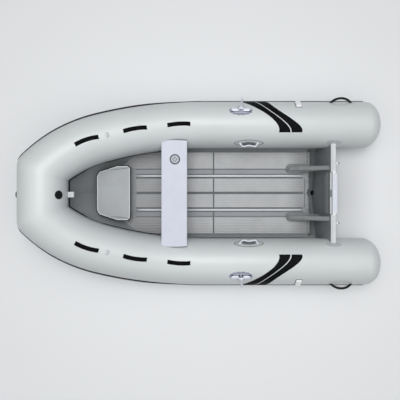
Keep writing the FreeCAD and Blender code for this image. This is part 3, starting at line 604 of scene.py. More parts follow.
# Lavender grey nylon: satin, moulded
handle_plastic = finish(
    "moulded_nylon_handle", "stainless", "#dcdfea", "#d6d9e5", "#e2e5ef", 30, 0.35, (1.2, 0.06, 0.4)
)

# Cast aluminium with a lavender anodised coat: satin, slightly sandy
cast_metal = finish(
    "anodised_casting", "cast_aluminium", "#dcdeea", "#d5d7e5", "#e3e5f0", 18, 0.36, (1.5, 0.12, 0.5),
    Metallic=0.1
)

# Lavender grey moulded skirt under the rowlocks
skirt_plastic = finish(
    "moulded_rowlock_skirt", "cast_aluminium", "#8a8e9e", "#848898", "#9195a4", 25, 0.5, (1.5, 0.1, 0.5)
)

# Mid grey coat on the rowlocks' oval plates
plate_paint = finish(
    "coated_rowlock_plate", "cast_aluminium", "#a2a6b4", "#9ca0ae", "#a8acba", 25, 0.45, (1.5, 0.1, 0.5)
)

# Rolled deck planks: the deck's coat, a little paler, with their own real ribs.
# Painted shade darkens them over the last 200 mm before the well, and forward of the seat
plank_paint = finish(
    "ribbed_plank_coat", "deck_paint", "#a7a9ab", "#a2a4a6", "#acaeb0", 110, 0.46, (3, 0.06, 0.4)
)
tree, shader, coords = parts_of(plank_paint)
station = add(tree, "ShaderNodeSeparateXYZ", [("Vector", coords)]).outputs["X"]
aft_painted_shade = ramp(tree, station, -0.80, -1.02, high=0.45)
fore_painted_shade = ramp(tree, station, 0.17, 0.36, high=0.36)
painted_shade = maths(tree, "ADD", aft_painted_shade, fore_painted_shade)
unshaded_colour = shader.inputs["Base Color"].links[0].from_socket
tree.links.new(shader.inputs["Base Color"], blend(tree, painted_shade, unshaded_colour, "#4c4e50"))

# Each solid of the parts has its slot's main finish, and the hinges have their own
for part in frame["record"]["subparts"]:
    mesh = nodes[part["node"]].data
    mesh.materials.clear()
    mesh.materials.append(main_finish[part["material_slot"]])
nodes["lid_hinges"].data.materials[0] = hinge_paint

# Collar: one skin cut at the chamber breaks
section_turn = full_turn(96)
rows, stations = collar_rows(section_turn, np.zeros(96))
index = np.arange(len(rows))
middle = len(rows) // 2
aft_part = stations <= CHAMBER_BREAK + 0.012
for word, rings in (
    ("port", rows[aft_part & (index < middle)]),
    ("starboard", rows[aft_part & (index > middle)]),
    ("bow", rows[stations >= CHAMBER_BREAK]),
):
    piece(f"{word}_chamber", closed_tube(rings), coated_fabric, replaced=[f"collar_{word}"], sharp=60)

# Moulded cones: a half ellipse of revolution at each tube's end
rise = np.linspace(0, math.pi / 2 - 0.02, 24)[:, None]
cone_radius = (RADIUS - 0.0005) * np.cos(rise)
cone_y, cone_z = cone_radius * np.sin(section_turn), cone_radius * np.cos(section_turn)
cone = xyz(-CONE_LENGTH * np.sin(rise), cone_y, cone_z)
for word, side in SIDES:
    rings = cone + (TUBE_END, side * axis_point(np.array(3.0))[1], AXIS_Z)
    piece(f"{word}_cone", closed_tube(rings), coated_fabric, replaced=[f"stern_cone_{word}"], sharp=60)

# Welded tapes over the joins between chambers and cones: flat bands, feathered over 12 mm to the skin
tape = np.array([[-0.036, -0.0005], [-0.024, 0.0003], [0.024, 0.0003], [0.036, -0.0005]])
for word, side in SIDES:
    joins = (CHAMBER_BREAK, TUBE_END + 0.022)
    bands = [closed_tube(skin(join + tape[:, :1], section_turn, tape[:, 1:], side)) for join in joins]
    piece(f"{word}_join_tapes", together(bands), coated_fabric)

# Rubbing strake: a half-round bar round the collar's widest line on a flat base. A smooth step of station
# and half breadth leads to its thicker form at the bow's quarters
bulge = np.linspace(-1, 1, 13)
half_round = np.sqrt(np.clip(1 - bulge**2, 0, 1))
strake_low, strake_high = math.pi / 2 - 0.019 / RADIUS, math.pi / 2 + 0.019 / RADIUS
strake_turns = [[strake_low], math.pi / 2 + bulge * 0.013 / RADIUS, [strake_high, strake_high, strake_low]]
(strake_rows, strake_x), (thick_rows, _) = (
    collar_rows(
        np.concatenate(strake_turns),
        np.concatenate([[0.0008], factor * (0.001 + 0.010 * half_round), [0.0008, -0.001, -0.001]]),
    )
    for factor in (1, 1.85)
)
quarter = np.clip((strake_x - 0.1) / 0.5, 0, 1) * np.clip((np.abs(strake_rows[:, 0, 1]) - 0.24) / 0.1, 0, 1)
quarter = (quarter**2 * (3 - 2 * quarter))[:, None, None]
strake_rows = strake_rows + quarter * (thick_rows - strake_rows)
front = (np.abs(strake_rows[:, 0, 1]) < 0.30) & (strake_rows[:, 0, 0] > 1.3)
first, last = np.flatnonzero(front)[[0, -1]]
for word, rings, rubber in (
    ("port", strake_rows[: first + 2], strake_rubber),
    ("bow", strake_rows[first : last + 1], front_rubber),
    ("starboard", strake_rows[last - 1 :], strake_rubber),
):
    piece(f"{word}_rubbing_strake", closed_tube(rings), rubber, replaced=[f"strake_{word}"], sharp=50)

# Black half-round bead along the tubes' inner flank, low beside the opened lid:
# painted shade where the tube meets the hull
shadow_strip_turn = -math.radians(103) + bulge * 0.012 / RADIUS
low_rows, shadow_strip_x = collar_rows(shadow_strip_turn, 0.0005 + 0.004 * half_round)
high_rows, _ = collar_rows(shadow_strip_turn, 0.0005 + 0.012 * half_round)
room = np.clip(np.abs(shadow_strip_x - 1.09) / 0.05 - 1.2, 0, 1)[:, None, None]
shadow_strip_rows = low_rows + room * (high_rows - low_rows)
piece("bow_shadow_strip", closed_tube(shadow_strip_rows[shadow_strip_x > 0.42]), black_rubber, sharp=60)

# Swept stripes: two black bands a side, their edges quartic curves of station against angle
edge_angles = np.radians([77.4, 64.9, 30.5, 11.3, -3.9, -26.0])
first_edge = [-0.352, -0.386, -0.528, -0.628, -0.674, -0.699]
gap_edge = [-0.478, -0.506, -0.612, -0.688, -0.762, -0.803]
last_edge = [-0.590, -0.614, -0.700, -0.791, -0.868, -0.910]
curves = [np.polyfit(edge_angles, edge, 4) for edge in (first_edge, gap_edge, last_edge)]
sweep_angles = np.radians(np.linspace(-25.5, 84, 44))[:, None]
share = np.linspace(0, 1, 10)
stripe_lift = 0.0011 * np.minimum(1, np.minimum(share, 1 - share) * 30 + 0.3)
for word, side in SIDES:
    bands = []
    for fore, aft, gap in ((curves[0], curves[1], 0), (curves[1], curves[2], 0.011)):
        fore_x = np.polyval(fore, sweep_angles) - gap
        x = fore_x + (np.polyval(aft, sweep_angles) - fore_x) * share
        bands.append(skin_sheet(x, sweep_angles, stripe_lift, side, -0.001))
    piece(f"{word}_swept_stripes", together(bands), black_patch)

# Deck planks
DECK_Z = 0.07
DECK_UNDER = DECK_Z - 0.0003
SEAM_X = -0.114
GROOVE, LANE_EDGE, RAIL_Y, BAND_EDGE, DECK_EDGE = 0.0115, 0.143, 0.168, 0.238, 0.401
RIB_PITCH, RIB_HEIGHT = 0.0265, 0.0007


def plank(x, y):
    """A plank over a grid of stations: 3.5 mm high, less a quarter round of 2.8 mm along each border.

    Ribs run along it: a cosine of their pitch across, faded in over the first 15 mm from the border.
    """
    x, y = np.broadcast_arrays(x, y)
    along = np.minimum(np.abs(x - x[:1]), np.abs(x - x[-1:]))
    border = np.minimum(along, np.minimum(np.abs(y - y[:, :1]), np.abs(y - y[:, -1:])))
    rib = RIB_HEIGHT * np.clip(border / 0.015, 0, 1) * (np.cos(2 * math.pi * (y - y[:, :1]) / RIB_PITCH) - 1)
    return level_slab(xyz(x, y, DECK_Z + 0.0035 - edge_fall(border, 0.0028) + rib), DECK_UNDER)


def inner_lane(aft, fore, hollow):
    """A middle plank: its forward end is hollowed by a parabola that is deepest at the centreline."""
    y = GROOVE + (LANE_EDGE - GROOVE) * shares(60)
    return plank(aft + (fore - hollow * (1 - (y / LANE_EDGE) ** 2) - aft) * shares(24, 0.012)[:, None], y)


def outer_lane(aft, fore):
    """A side plank: its outer edge follows the deck's, in to the slanted front and clear of the locker."""
    x = aft + (fore - aft) * shares(60, 0.012)[:, None]
    outer = np.interp(x, [0.56, 0.659, 0.80], [DECK_EDGE, 0.371, 0.281])
    inner = np.interp(x, [0.685, 0.70], [BAND_EDGE + 0.003, 0.262])
    return plank(x, inner + (outer - inner) * shares(60))


fore_lanes = inner_lane(SEAM_X + 0.006, 0.665, 0.012), outer_lane(SEAM_X + 0.006, 0.797)
aft_lanes = inner_lane(-1.014, SEAM_X - 0.006, 0.0), outer_lane(-1.040, SEAM_X - 0.006)
piece("fore_deck_planks", both(*fore_lanes), plank_paint)
piece("aft_deck_planks", both(*aft_lanes), plank_paint)


# Dark strips with a slight crown: caulking in the seam and at the aft end, and painted shade of the recesses
# in the middle groove and beside the rails
def deck_strip(ends, middle, half, height):
    """A strip along the deck, its top a shallow parabola across."""
    across = np.linspace(-1, 1, 5)
    x = np.linspace(*ends, 12)[:, None]
    return level_slab(xyz(x, middle + half * across, DECK_Z + height - 0.0005 * across**2), DECK_UNDER)


beside = [
    deck_strip((-0.998, 0.655), middle, half, 0.0016)
    for middle, half in ((0.1502, 0.0062), (0.1825, 0.0035), (0.2352, 0.0026))
]
caulking = [deck_strip((-1.001, 0.648), 0.0, 0.0108, 0.0018), both(*beside)]
for start, end, station, half in (
    (-0.4, 0.4, SEAM_X, 0.0058),
    (-0.145, 0.145, -1.0165, 0.0032),
    (0.236, 0.402, -1.0425, 0.0032),
    (-0.402, -0.236, -1.0425, 0.0032),
):
    points, faces = deck_strip((start, end), station, half, 0.0034)
    caulking.append((points[:, [1, 0, 2]], faces[:, ::-1]))
seal_y = np.array([0.4025, 0.4060, 0.4150, 0.4300, 0.4420])
seal_z = np.array([0.0665, 0.0660, 0.0610, 0.0590, 0.0625])
seal = sheet(xyz(np.linspace(-1.05, 0.60, 60)[:, None], seal_y, seal_z), 0.003)
piece("deck_edge_seals", both(seal), seal_rubber)
piece("deck_caulking_strips", together(caulking), caulk_and_shade_rubber)

# Deck rails: bright rounded extrusions on a flat foot, sloping down to the deck at both ends
rail_turn = np.linspace(0, math.pi, 15)
rail_y = np.append(0.0105 * np.cos(rail_turn), [-0.0105, 0.0105])
rail_z = np.append(0.009 + 0.011 * np.sin(rail_turn) ** 0.8, [0.0002, 0.0002])
rail_x = [[-0.985, -0.975, -0.955, -0.92], np.linspace(-0.88, 0.56, 40), [0.59, 0.615, 0.63, 0.64]]
rail_x = np.concatenate(rail_x)[:, None]
rail_rise = np.clip(np.minimum((rail_x + 0.985) / 0.16, (0.64 - rail_x) / 0.07), 0.02, 1) ** 0.7
rail = closed_tube(xyz(rail_x, RAIL_Y + rail_y * (0.3 + 0.7 * rail_rise), DECK_Z + rail_z * rail_rise))
piece("deck_rail_extrusions", both(rail), rail_metal, replaced=["deck_rails"])

# Deck's aft lip: it falls into the well as a quarter ellipse, with a bead along it. A logistic step leads
# to its wider sides, and its edge is a cosine scallop, with a half-round channel over the drain
lip_y = np.linspace(-0.405, 0.405, 325)
scallop = np.cos(2 * math.pi * lip_y / 0.055)
wide = 1 / (1 + np.exp(-(np.abs(lip_y) - 0.215) / 0.006))
lip_start = -1.010 - 0.026 * wide
channel = np.sqrt(np.clip(0.040**2 - lip_y**2, 0, None))
lip_end = np.maximum(-1.070 - 0.030 * wide + 0.003 * scallop, -1.076 + 0.8 * channel)
s = np.linspace(0, 1, 16)[:, None]
lip_x = lip_start + (lip_end - lip_start) * (1 - (1 - s) ** 1.6)
bead = 0.0022 * np.exp(-(((s - 0.55) / 0.12) ** 2)) + 0.0016 * scallop * s * (1 - s) * 4
lip_z = DECK_Z + 0.0022 - 0.031 * (1 - np.sqrt(1 - (0.985 * s) ** 2)) + bead
piece("deck_aft_lip", sheet(xyz(lip_x, lip_y, lip_z), 0.004), lip_plastic, replaced=["deck_sill"], sharp=60)

# Bilge mat: a dark rubber sheet on the hull's vee inside the well, a hyperbola across with a round keel line.
# Its dark grey is painted shade of the well
mat_y = np.linspace(-0.43, 0.43, 61)
mat_top = xyz(np.linspace(-1.165, -1.045, 7)[:, None], mat_y, -0.088 + 0.223 * np.sqrt(mat_y**2 + 0.0004))
piece("well_shade_mat", sheet(mat_top, 0.003), well_shade_rubber)

# Locker lid: its plan's half width by station, and the half width that clears the tubes as the lid opens
LID_LOW, LID_TOP = 0.1964, 0.2052
LID_X = [0.6958, 0.7130, 0.7180, 0.8153, 0.8490, 0.9858, 0.9862, 0.9960, 1.0000, 1.0108]
LID_HALF = [0.2330, 0.2530, 0.2600, 0.2600, 0.2485, 0.2050, 0.1960, 0.1880, 0.1780, 0.1690]
SWING_X = [0.6958, 0.7163, 0.7363, 0.7563, 0.7763, 0.8163, 0.9090, 0.9091]
SWING_HALF = [0.2560, 0.2470, 0.2400, 0.2353, 0.2325, 0.2300, 0.2294, 0.3000]


def lid_half(x):
    """Half width of the lid that swings: the plan's, or the room between the tubes if less."""
    return np.minimum(np.interp(x, LID_X, LID_HALF), np.interp(x, SWING_X, SWING_HALF))


# A pressed sheet with notched forward corners and a raised border, and two hat sections beneath
lid_x = np.concatenate([LID_X, SWING_X[:-1], np.linspace(LID_X[0], LID_X[-1], 41)])
lid_x = np.unique(lid_x)[:, None]
lid_y = lid_half(lid_x) * (2 * shares(61) - 1)
border = np.minimum(np.minimum(lid_x - LID_X[0], LID_X[-1] - lid_x), lid_half(lid_x) - np.abs(lid_y))
lid_z = LID_TOP - edge_fall(border, 0.004) - 0.0012 * np.clip((border - 0.010) / 0.004, 0, 1)
lid_sheet = level_slab(xyz(lid_x, lid_y, lid_z), LID_LOW)
hat_x = np.array([-0.020, -0.012, 0.012, 0.020, 0.019, -0.019])
hat_z = np.array([0, -0.012, -0.012, 0, 0.0002, 0.0002])
hat_y = np.linspace(-0.15, 0.15, 12)[:, None]
hat_z = LID_LOW + hat_z * np.clip((0.15 - np.abs(hat_y)) / 0.02, 0.05, 1)
hats = [closed_tube(xyz(x + hat_x, hat_y, hat_z)) for x in (0.79, 0.91)]
piece("locker_lid_sheet", together([lid_sheet, *hats]), lid_paint, body="locker_lid", replaced=["locker_lid"])

# Fixed ledges: they fill the lid's plan beside the tubes, where a swinging edge would have no room
ledge_x = np.linspace(0.7090, 0.9060, 45)[:, None]
ledge_in = lid_half(ledge_x) + 0.0015
ledge_out = np.maximum(np.interp(ledge_x, LID_X, LID_HALF), ledge_in + 0.0008)
ledge_y = ledge_in + (ledge_out - ledge_in) * shares(9, 0.1)
ledge_z = LID_TOP - edge_fall(ledge_out - ledge_y, 0.003) - edge_fall(3 * (ledge_y - ledge_in), 0.003)
piece("locker_side_ledges", both(level_slab(xyz(ledge_x, ledge_y, ledge_z), 0.1957)), lid_paint)

# Rolled beads: along the plan's outer edge, on the lid at its two ends and on the ledges between. Their pale
# colour is a painted highlight
BEAD_Z, BEAD_RADIUS = LID_TOP - 0.0024, 0.0042
beads = []
for corners in (
    [(0.7085, 0.2455), (0.7010, 0.2380), (0.6995, 0.2300)],
    [(0.9110, 0.2250), (0.9830, 0.2015), (0.9930, 0.1860), (1.0070, 0.1650)],
):
    corners = corners + [(x, -y) for x, y in corners[::-1]]
    beads.append(rod(smooth_path([(x, y, BEAD_Z) for x, y in corners], 0.006), BEAD_RADIUS, 10))
piece("lid_end_beads", together(beads), bead_painted_highlight, body="locker_lid")
side_x = np.linspace(0.7130, 0.9030, 60)
side_bead = rod(xyz(side_x, np.interp(side_x, LID_X, LID_HALF) - 0.0036, BEAD_Z), BEAD_RADIUS, 10)
piece("ledge_beads", both(side_bead), bead_painted_highlight)

# Hinge leaves: a barrel on the hinge's axis, and a plate that laps the lid
HINGE_X, HINGE_Z = 1.016, 0.2003
leaves = []
leaf_x = np.linspace(0.994, HINGE_X, 6)[:, None]
for y in (-0.1, 0.1):
    barrel = [(HINGE_X, y + step, HINGE_Z) for step in (-0.02, -0.019, 0.019, 0.02)]
    leaf = xyz(leaf_x, y + 0.02 * np.linspace(-1, 1, 8), np.where(leaf_x > 1.011, 0.2040, 0.2036))
    leaves += [rod(barrel, [0.0054, 0.006, 0.006, 0.0054], 24), sheet(leaf, 0.003)]
piece("lid_hinge_leaves", together(leaves), hinge_paint, body="locker_lid")


# Black ring under the lid's edge: a shelf from the box's walls out to a lip, painted shade: the dark line of
# the gap round the lid
def lid_shade_ring(half, grow, z):
    """A plan of a half width by station, grown outwards from the lid's middle by a distance, at a height."""
    plan = np.concatenate([np.stack([LID_X, half], -1), np.stack([LID_X, np.negative(half)], -1)[::-1]])
    away = plan - (0.85, 0)
    plan = plan + grow * away / np.linalg.norm(away, axis=1, keepdims=True)
    return xyz(plan[:, 0], plan[:, 1], z)


wall_half = np.minimum(LID_HALF, np.interp(LID_X, [0.70, 1.01], [0.249, 0.160]))
lid_shade_levels = [lid_shade_ring(wall_half, -0.012, 0.1958)]
for grow, z in ((0.009, 0.1958), (0.010, 0.193), (0.009, 0.188), (-0.001, 0.188), (-0.001, 0.1925)):
    lid_shade_levels.append(lid_shade_ring(LID_HALF, grow, z))
lid_shade_levels.append(lid_shade_ring(wall_half, -0.012, 0.1925))
piece("locker_shade_ring", closed_loop(np.array(lid_shade_levels).transpose(1, 0, 2)), black_rubber)

# Transom: the raked plate's cap and its engine pads
RAKE = math.radians(10)
TRANSOM_X, TRANSOM_Z = -1.2014, 0.344


def raked(u, y, w):
    """Points on the transom: forward of its fore face by u, and up its slope from the top edge by w."""
    x = TRANSOM_X + u * math.cos(RAKE) - w * math.sin(RAKE)
    return xyz(x, y, TRANSOM_Z + u * math.sin(RAKE) + w * math.cos(RAKE))


def across_bar(corners, bend, start, end):
    """A bar across the transom, its section's corners rounded.

    The section is drawn in towards its middle over the last 3 mm at each end.
    """
    section = smooth_path([corners[-1], *corners, corners[0]], bend, 5)[1:-1]
    y = [start + np.array([0, 0.0008, 0.003]), np.linspace(start + 0.02, end - 0.02, 12)]
    y = np.concatenate([*y, end - np.array([0.003, 0.0008, 0])])
    inset = np.interp(np.minimum(y - start, end - y), [0, 0.0008, 0.003], [0.0025, 0.001, 0])[:, None, None]
    middle = section.mean(0)
    reach = np.linalg.norm(section - middle, axis=1, keepdims=True)
    rings = section + (middle - section) / reach * np.minimum(inset, reach * 0.5)
    return closed_tube(raked(rings[..., 0], y[:, None], rings[..., 1]))


def oblong(u0, u1, w0, w1):
    """The corners of a bar's oblong section."""
    return [(u0, w0), (u0, w1), (u1, w1), (u1, w0)]


cap_section = [(0.0016, -0.011), (0.0016, 0.0030), (-0.0436, 0.0030), (-0.0436, -0.011), (-0.0422, -0.011)]
cap_section += [(-0.0422, 0.0002), (0.0002, 0.0002), (0.0002, -0.011)]
piece("transom_cap", both(across_bar(cap_section, 0.0006, 0.1975, 0.463)), cap_paint)
pleat = [(0.0118, -0.150), (0.0140, -0.148), (0.0140, -0.018), (0.0118, -0.016)]
# The pad's fore face is painted mid grey: painted shade of its forward-facing side
fore_pad = [across_bar(oblong(0.0125, 0.0003, -0.166, -0.001), 0.002, -0.194, 0.194)]
fore_pad += [across_bar(pleat, 0.001, y - 0.011, y + 0.011) for y in np.linspace(-0.165, 0.165, 9)]
piece("engine_pad_fore_face", together(fore_pad), pad_painted_shade, replaced=["engine_pad_fore"])
band = [(0.0120, -0.118), (0.0165, -0.114), (0.0165, -0.058), (0.0120, -0.054)]
piece("engine_pad_clamp_band", across_bar(band, 0.002, -0.190, 0.190), knee_paint, slot="pad_plastic")
strip = across_bar(oblong(0.0002, 0.0112, 0.0002, 0.0058), 0.0015, 0.034, 0.194)
piece("engine_pad_strips", both(strip), white_plastic)
saddle = [(-0.0095, 0.0003), (-0.0095, 0.0085), (-0.0580, 0.0085), (-0.0580, -0.167), (-0.0424, -0.167)]
saddle = across_bar([*saddle, (-0.0424, 0.0003)], 0.004, -0.188, 0.188)
piece("engine_pad_aft_saddle", saddle, pad_plastic, replaced=["engine_pad_aft"])
stop = across_bar(oblong(-0.012, -0.040, 0.0003, 0.0115), 0.006, 0.1870, 0.2030)
piece("engine_pad_end_stops", both(stop), bright_plastic)
seam = across_bar(oblong(-0.0125, -0.0145, 0.0025, 0.0034), 0.0004, 0.205, 0.461)
piece("transom_cap_seam", both(seam), trim_rubber)

# Caps and washers over the nuts of the stern eyes
eye_at = raked(-0.0840, 0.283, -0.050)
cap_profile = [(0.0120, -0.006), (0.0130, 0.0), (0.0124, 0.004), (0.0100, 0.0078), (0.006, 0.0098)]
washer_profile = [(0.010, -0.009), (0.010, -0.004), (0.009, -0.003), (0.002, -0.003)]
piece("stern_eye_caps", both(lathe([*cap_profile, (0.001, 0.0104)], eye_at, sides=24)), bright_plastic)
piece("stern_eye_washers", both(lathe(washer_profile, eye_at + (-0.013, 0, 0), sides=24)), black_rubber)

# Knees: deep cast webs with a rounded nose, a flange along the top, an oval foot and bolt bosses
KNEE_Y, KNEE_LOW, FOOT_X = 0.24, 0.0703, -0.955
knee_x = -0.845 - 0.021 * (1 - np.cos(np.linspace(0.05, math.pi / 2, 9)))
knee_x = np.concatenate([knee_x, np.linspace(-0.88, -1.194, 22)])
nose = np.sqrt(np.clip(1 - np.clip((knee_x + 0.866) / 0.021, 0, 1) ** 2, 0.01, 1))
knee_top = 0.104 + (0.318 - 0.104) * np.clip((-0.85 - knee_x) / 0.347, 0, 1) - 0.006 * (1 - nose)
flank = [(0.55, knee_top), (0.86, knee_top - 0.0012), (1, knee_top - 0.004), (1, knee_top - 0.010)]
flank += [(0.8, knee_top - 0.013), (0.8, KNEE_LOW + 0.006), (1.25, KNEE_LOW + 0.003), (1.25, KNEE_LOW)]
flank = [(-reach, level) for reach, level in flank[::-1]] + flank
web = []
for reach, level in flank:
    web.append(xyz(knee_x, KNEE_Y + reach * 0.021 * nose, np.maximum(level, KNEE_LOW + 0.0001)))
web = closed_tube(np.array(web).transpose(1, 0, 2))
turn = full_turn(64)
foot_plan = 0.080 * np.sign(np.cos(turn)) + 0.040 * np.cos(turn), 0.040 * np.sin(turn)


def foot_rings(levels):
    """A stack of the foot's oval, scaled along and across, each at its height."""
    rings = []
    for along, wide, z in levels:
        rings.append(xyz(FOOT_X + foot_plan[0] * along, KNEE_Y + foot_plan[1] * wide, z))
    return closed_tube(np.array(rings))


foot = [(1, 0.0700), (1, 0.0755), (0.97, 0.0768), (0.8, 0.0772), (0.76, 0.0790), (0.6, 0.0790), (0.2, 0.0790)]
foot = foot_rings([(1 - (1 - scale) * 0.4, scale, z) for scale, z in foot])
foot_bed = foot_rings([(1.04, 1.10, 0.0696), (1.04, 1.10, 0.0742), (0.936, 0.99, 0.0746)])
boss_profile = [(0.0075, 0.0), (0.0075, 0.003), (0.006, 0.0045), (0.002, 0.005)]
bosses = [
    lathe(boss_profile, (x, KNEE_Y, z - 0.002), (0.214, 0, 0.347), 20)
    for x, z in ((-0.872, 0.1145), (-0.925, 0.1505), (-1.14, 0.2830))
]
knee = together([web, foot, *bosses])
for word, side in SIDES:
    piece(f"{word}_knee_bed", on_side(foot_bed, side), caulk_and_shade_rubber)
    piece(f"{word}_knee_casting", on_side(knee, side), knee_paint, replaced=[f"knee_{word}"])


# Patches on the tubes: flaps over the transom's ends, marks with a button, halves by the stern handles
def skin_rings(x, angle, length, width, rays, lifts, side, count):
    """Ellipses round a point of a tube, one for each share of the reach, at its own lift over the skin."""
    turn = full_turn(count)
    rays, lifts = np.array(rays)[:, None], np.array(lifts)[:, None]
    angle = angle + rays * width / 2 / RADIUS * np.sin(turn)
    return skin(x + rays * length / 2 * np.cos(turn), angle, lifts, side)


def skin_oval(x, angle, length, width, lift, side, dome=0.0):
    """An oval patch on a tube: domed by a parabola out to the ellipse, then a thin rim down to the skin."""
    share = np.linspace(0, 1, 9)
    rays = [0.001, *share[1:], 1, 0]
    lifts = [*(lift + dome * (1 - share[:-1] ** 2)), lift * 0.6, -0.0012, -0.0012]
    return joined_rings(skin_rings(x, math.radians(angle), length, width, rays, lifts, side, 48))


STERN_HANDLE_X, STERN_HANDLE_ANGLE = -1.294, 63
for word, side in SIDES:
    flap = skin_oval(-1.222, -54.5, 0.144, 0.066, 0.0025, side)
    piece(f"{word}_transom_flap", flap, grey_fabric)
    piece(f"{word}_fabric_mark", skin_oval(0.842, -5, 0.034, 0.050, 0.0012, side), grey_fabric)
    button = skin_oval(0.846, -4.5, 0.017, 0.028, 0.0040, side, dome=0.0015)
    piece(f"{word}_mark_button", button, coated_fabric)
    ends = STERN_HANDLE_X - 0.094, STERN_HANDLE_X + 0.094
    halves = [skin_oval(x, STERN_HANDLE_ANGLE, 0.05, 0.04, 0.0016, side) for x in ends]
    piece(f"{word}_stern_handle_patches", together(halves), mark_fabric)

# Seat: a pressed top sheet whose ends lap the tubes, with a dark trim round both ends
SEAT_X, SEAT_HALF = 0.257, 0.1172


def seat_z(x, y):
    """Height of the sheet: level, or just over the tube's circle where that is higher, eased over 1.2 mm."""
    _, py, heading = axis_point(run_at(x))
    away = (py - np.abs(y)) * np.sin(heading)
    tube = sheer(x) + np.sqrt(np.clip(RADIUS**2 - away**2, 0, None))
    return 0.4022 + np.log1p(np.exp((tube - 0.4015) / 0.0012)) * 0.0012


seat_x = SEAT_X + SEAT_HALF * (2 * shares(23) - 1)[:, None]
seat_end = 0.4845 + 0.006 * (1 - ((seat_x - SEAT_X) / SEAT_HALF) ** 2)
seat_y = seat_end * (2 * shares(91, 0.008) - 1)
border = np.minimum(SEAT_HALF - np.abs(seat_x - SEAT_X), seat_end - np.abs(seat_y))
seat_top = xyz(seat_x, seat_y, seat_z(seat_x, seat_y) - edge_fall(border, 0.003))
piece("seat_top_sheet", sheet(seat_top, 0.0022), seat_metal)
across = np.linspace(-1, 1, 25)
trim_x, trim_y = SEAT_X + 0.118 * across, 0.487 + 0.006 * (1 - across**2)
trim = rod(xyz(trim_x, trim_y, seat_z(trim_x, trim_y) - 0.003), 0.0036, 12)
piece("seat_end_trims", both(trim), trim_rubber)

# Hatch cap in the seat: a turned ring, a dished disc with a bar across it, and a diamond of ridges
CAP_AT = np.array([0.251, -0.313, 0.4])
ring_profile = [(0.048, 0.0), (0.048, 0.0045), (0.0465, 0.0062), (0.0445, 0.0068), (0.0390, 0.0068)]
ring_profile += [(0.0372, 0.0056), (0.0368, 0.0040), (0.0362, 0.0008)]
piece("seat_cap_ring", lathe(ring_profile, CAP_AT, sides=64), ring_plastic, replaced=["seat_cap"], sharp=50)
disc_r = [0.0356, 0.0354, 0.0345, 0.030, 0.0265, 0.0250, 0.024, 0.018, 0.012, 0.006, 0.0005]
disc_h = [0.0012, 0.0058, 0.0064, 0.0064, 0.0060, 0.0044, *[0.0040] * 5]
disc_r, disc_h = np.array([disc_r, disc_h])[..., None]
turn = full_turn(64)
bar = np.exp(-((disc_r * np.sin(turn - 0.7) / 0.0045) ** 4)) * (disc_r < 0.0262) * 0.0030
disc = CAP_AT + xyz(disc_r * np.cos(turn), disc_r * np.sin(turn), disc_h + bar)
piece("seat_cap_disc", closed_tube(disc), grey_plastic, sharp=40)
diamond = np.array([(1, 0, 0), (0, 1, 0), (-1, 0, 0), (0, -1, 0), (1, 0, 0)])
diamond = CAP_AT + 0.0205 * diamond + (0, 0, 0.0054)
ridges = [rod(np.linspace(a, b, 5), 0.0018, 8) for a, b in zip(diamond[:-1], diamond[1:])]
piece("seat_cap_grip", together(ridges), ring_plastic)

# Black grip strips: bowed along the tube by a parabola, edges rolled, with cross ribs that are a cosine
GRIP_HALF = 0.105
along = GRIP_HALF * np.linspace(-1, 1, 67)
across = 0.019 * np.array([-1, -0.97, -0.88, -0.7, -0.4, 0, 0.4, 0.7, 0.88, 0.97, 1])
end = np.clip((GRIP_HALF - np.abs(along)) / 0.006, 0, 1)[:, None]
rolled = np.sqrt(np.clip(1 - (across / 0.019) ** 6, 0, 1)) * np.sqrt(end * (2 - end))
ripple = 0.0007 * np.cos(2 * math.pi * along / 0.0135)[:, None] * (np.abs(across) < 0.014)
grip_turn = math.radians(-4.5) + (across + 0.007 * (1 - (along / GRIP_HALF) ** 2)[:, None]) / RADIUS
for word, side in SIDES:
    strips = []
    for start in (0.213, 0.603, 1.013):
        x = np.interp(run_at(start) + along, run_table[::-1], x_table[::-1])[:, None]
        strips.append(skin_sheet(x, grip_turn, 0.0005 + 0.0075 * rolled + ripple * rolled, side))
    piece(f"{word}_grip_strips", together(strips), strip_rubber, replaced=[f"grips_{word}"])


def tube_frame(x, angle, side):
    """A point on the skin and three unit directions there: along the tube, around it and out of it."""
    here = skin(x, angle, 0.0, side)
    ahead = skin(x + 0.001, angle, 0.0, side) - skin(x - 0.001, angle, 0.0, side)
    ahead = ahead / np.linalg.norm(ahead)
    out = skin(x, angle, 0.01, side) - here
    out = out / np.linalg.norm(out)
    return here, ahead, np.cross(out, ahead), out


# Rowlocks: a scalloped skirt, an oval base, two thick lobes and the ears that carry the pin's bolt
ROWLOCK_X, ROWLOCK_ANGLE = -0.353, math.radians(30)
BOLT_HEIGHT = 0.03


def rowlock_lobe(start, end, side, wider=0.0, height=0.0165, shift=0.004):
    """Half of the raised bar: half ellipses on the skin, along the tube, rounded off at both ends."""
    share = shares(15, 0.05)[:, None]
    inner = np.sqrt(1 - (1 - np.clip(share / 0.06, 0, 1)) ** 2 * 0.9)
    outer = np.sqrt(np.clip(1 - np.clip((share - 0.70) / 0.30, 0, 1) ** 2.2, 0.004, 1))
    turn = np.linspace(0, math.pi, 17)
    around = np.append(np.cos(turn), [-0.9, 0.9]) * (0.0215 + wider) * outer * (0.6 + 0.4 * inner)
    lift = np.append(np.sin(turn) ** 0.75 * height + 0.001, [-0.001, -0.001])
    lift = np.where(lift > 0, lift * (0.35 + 0.65 * outer) * inner, lift)
    x = ROWLOCK_X + start + (end - start) * share
    return closed_tube(skin(x, ROWLOCK_ANGLE + (shift + around) / RADIUS, lift, side))


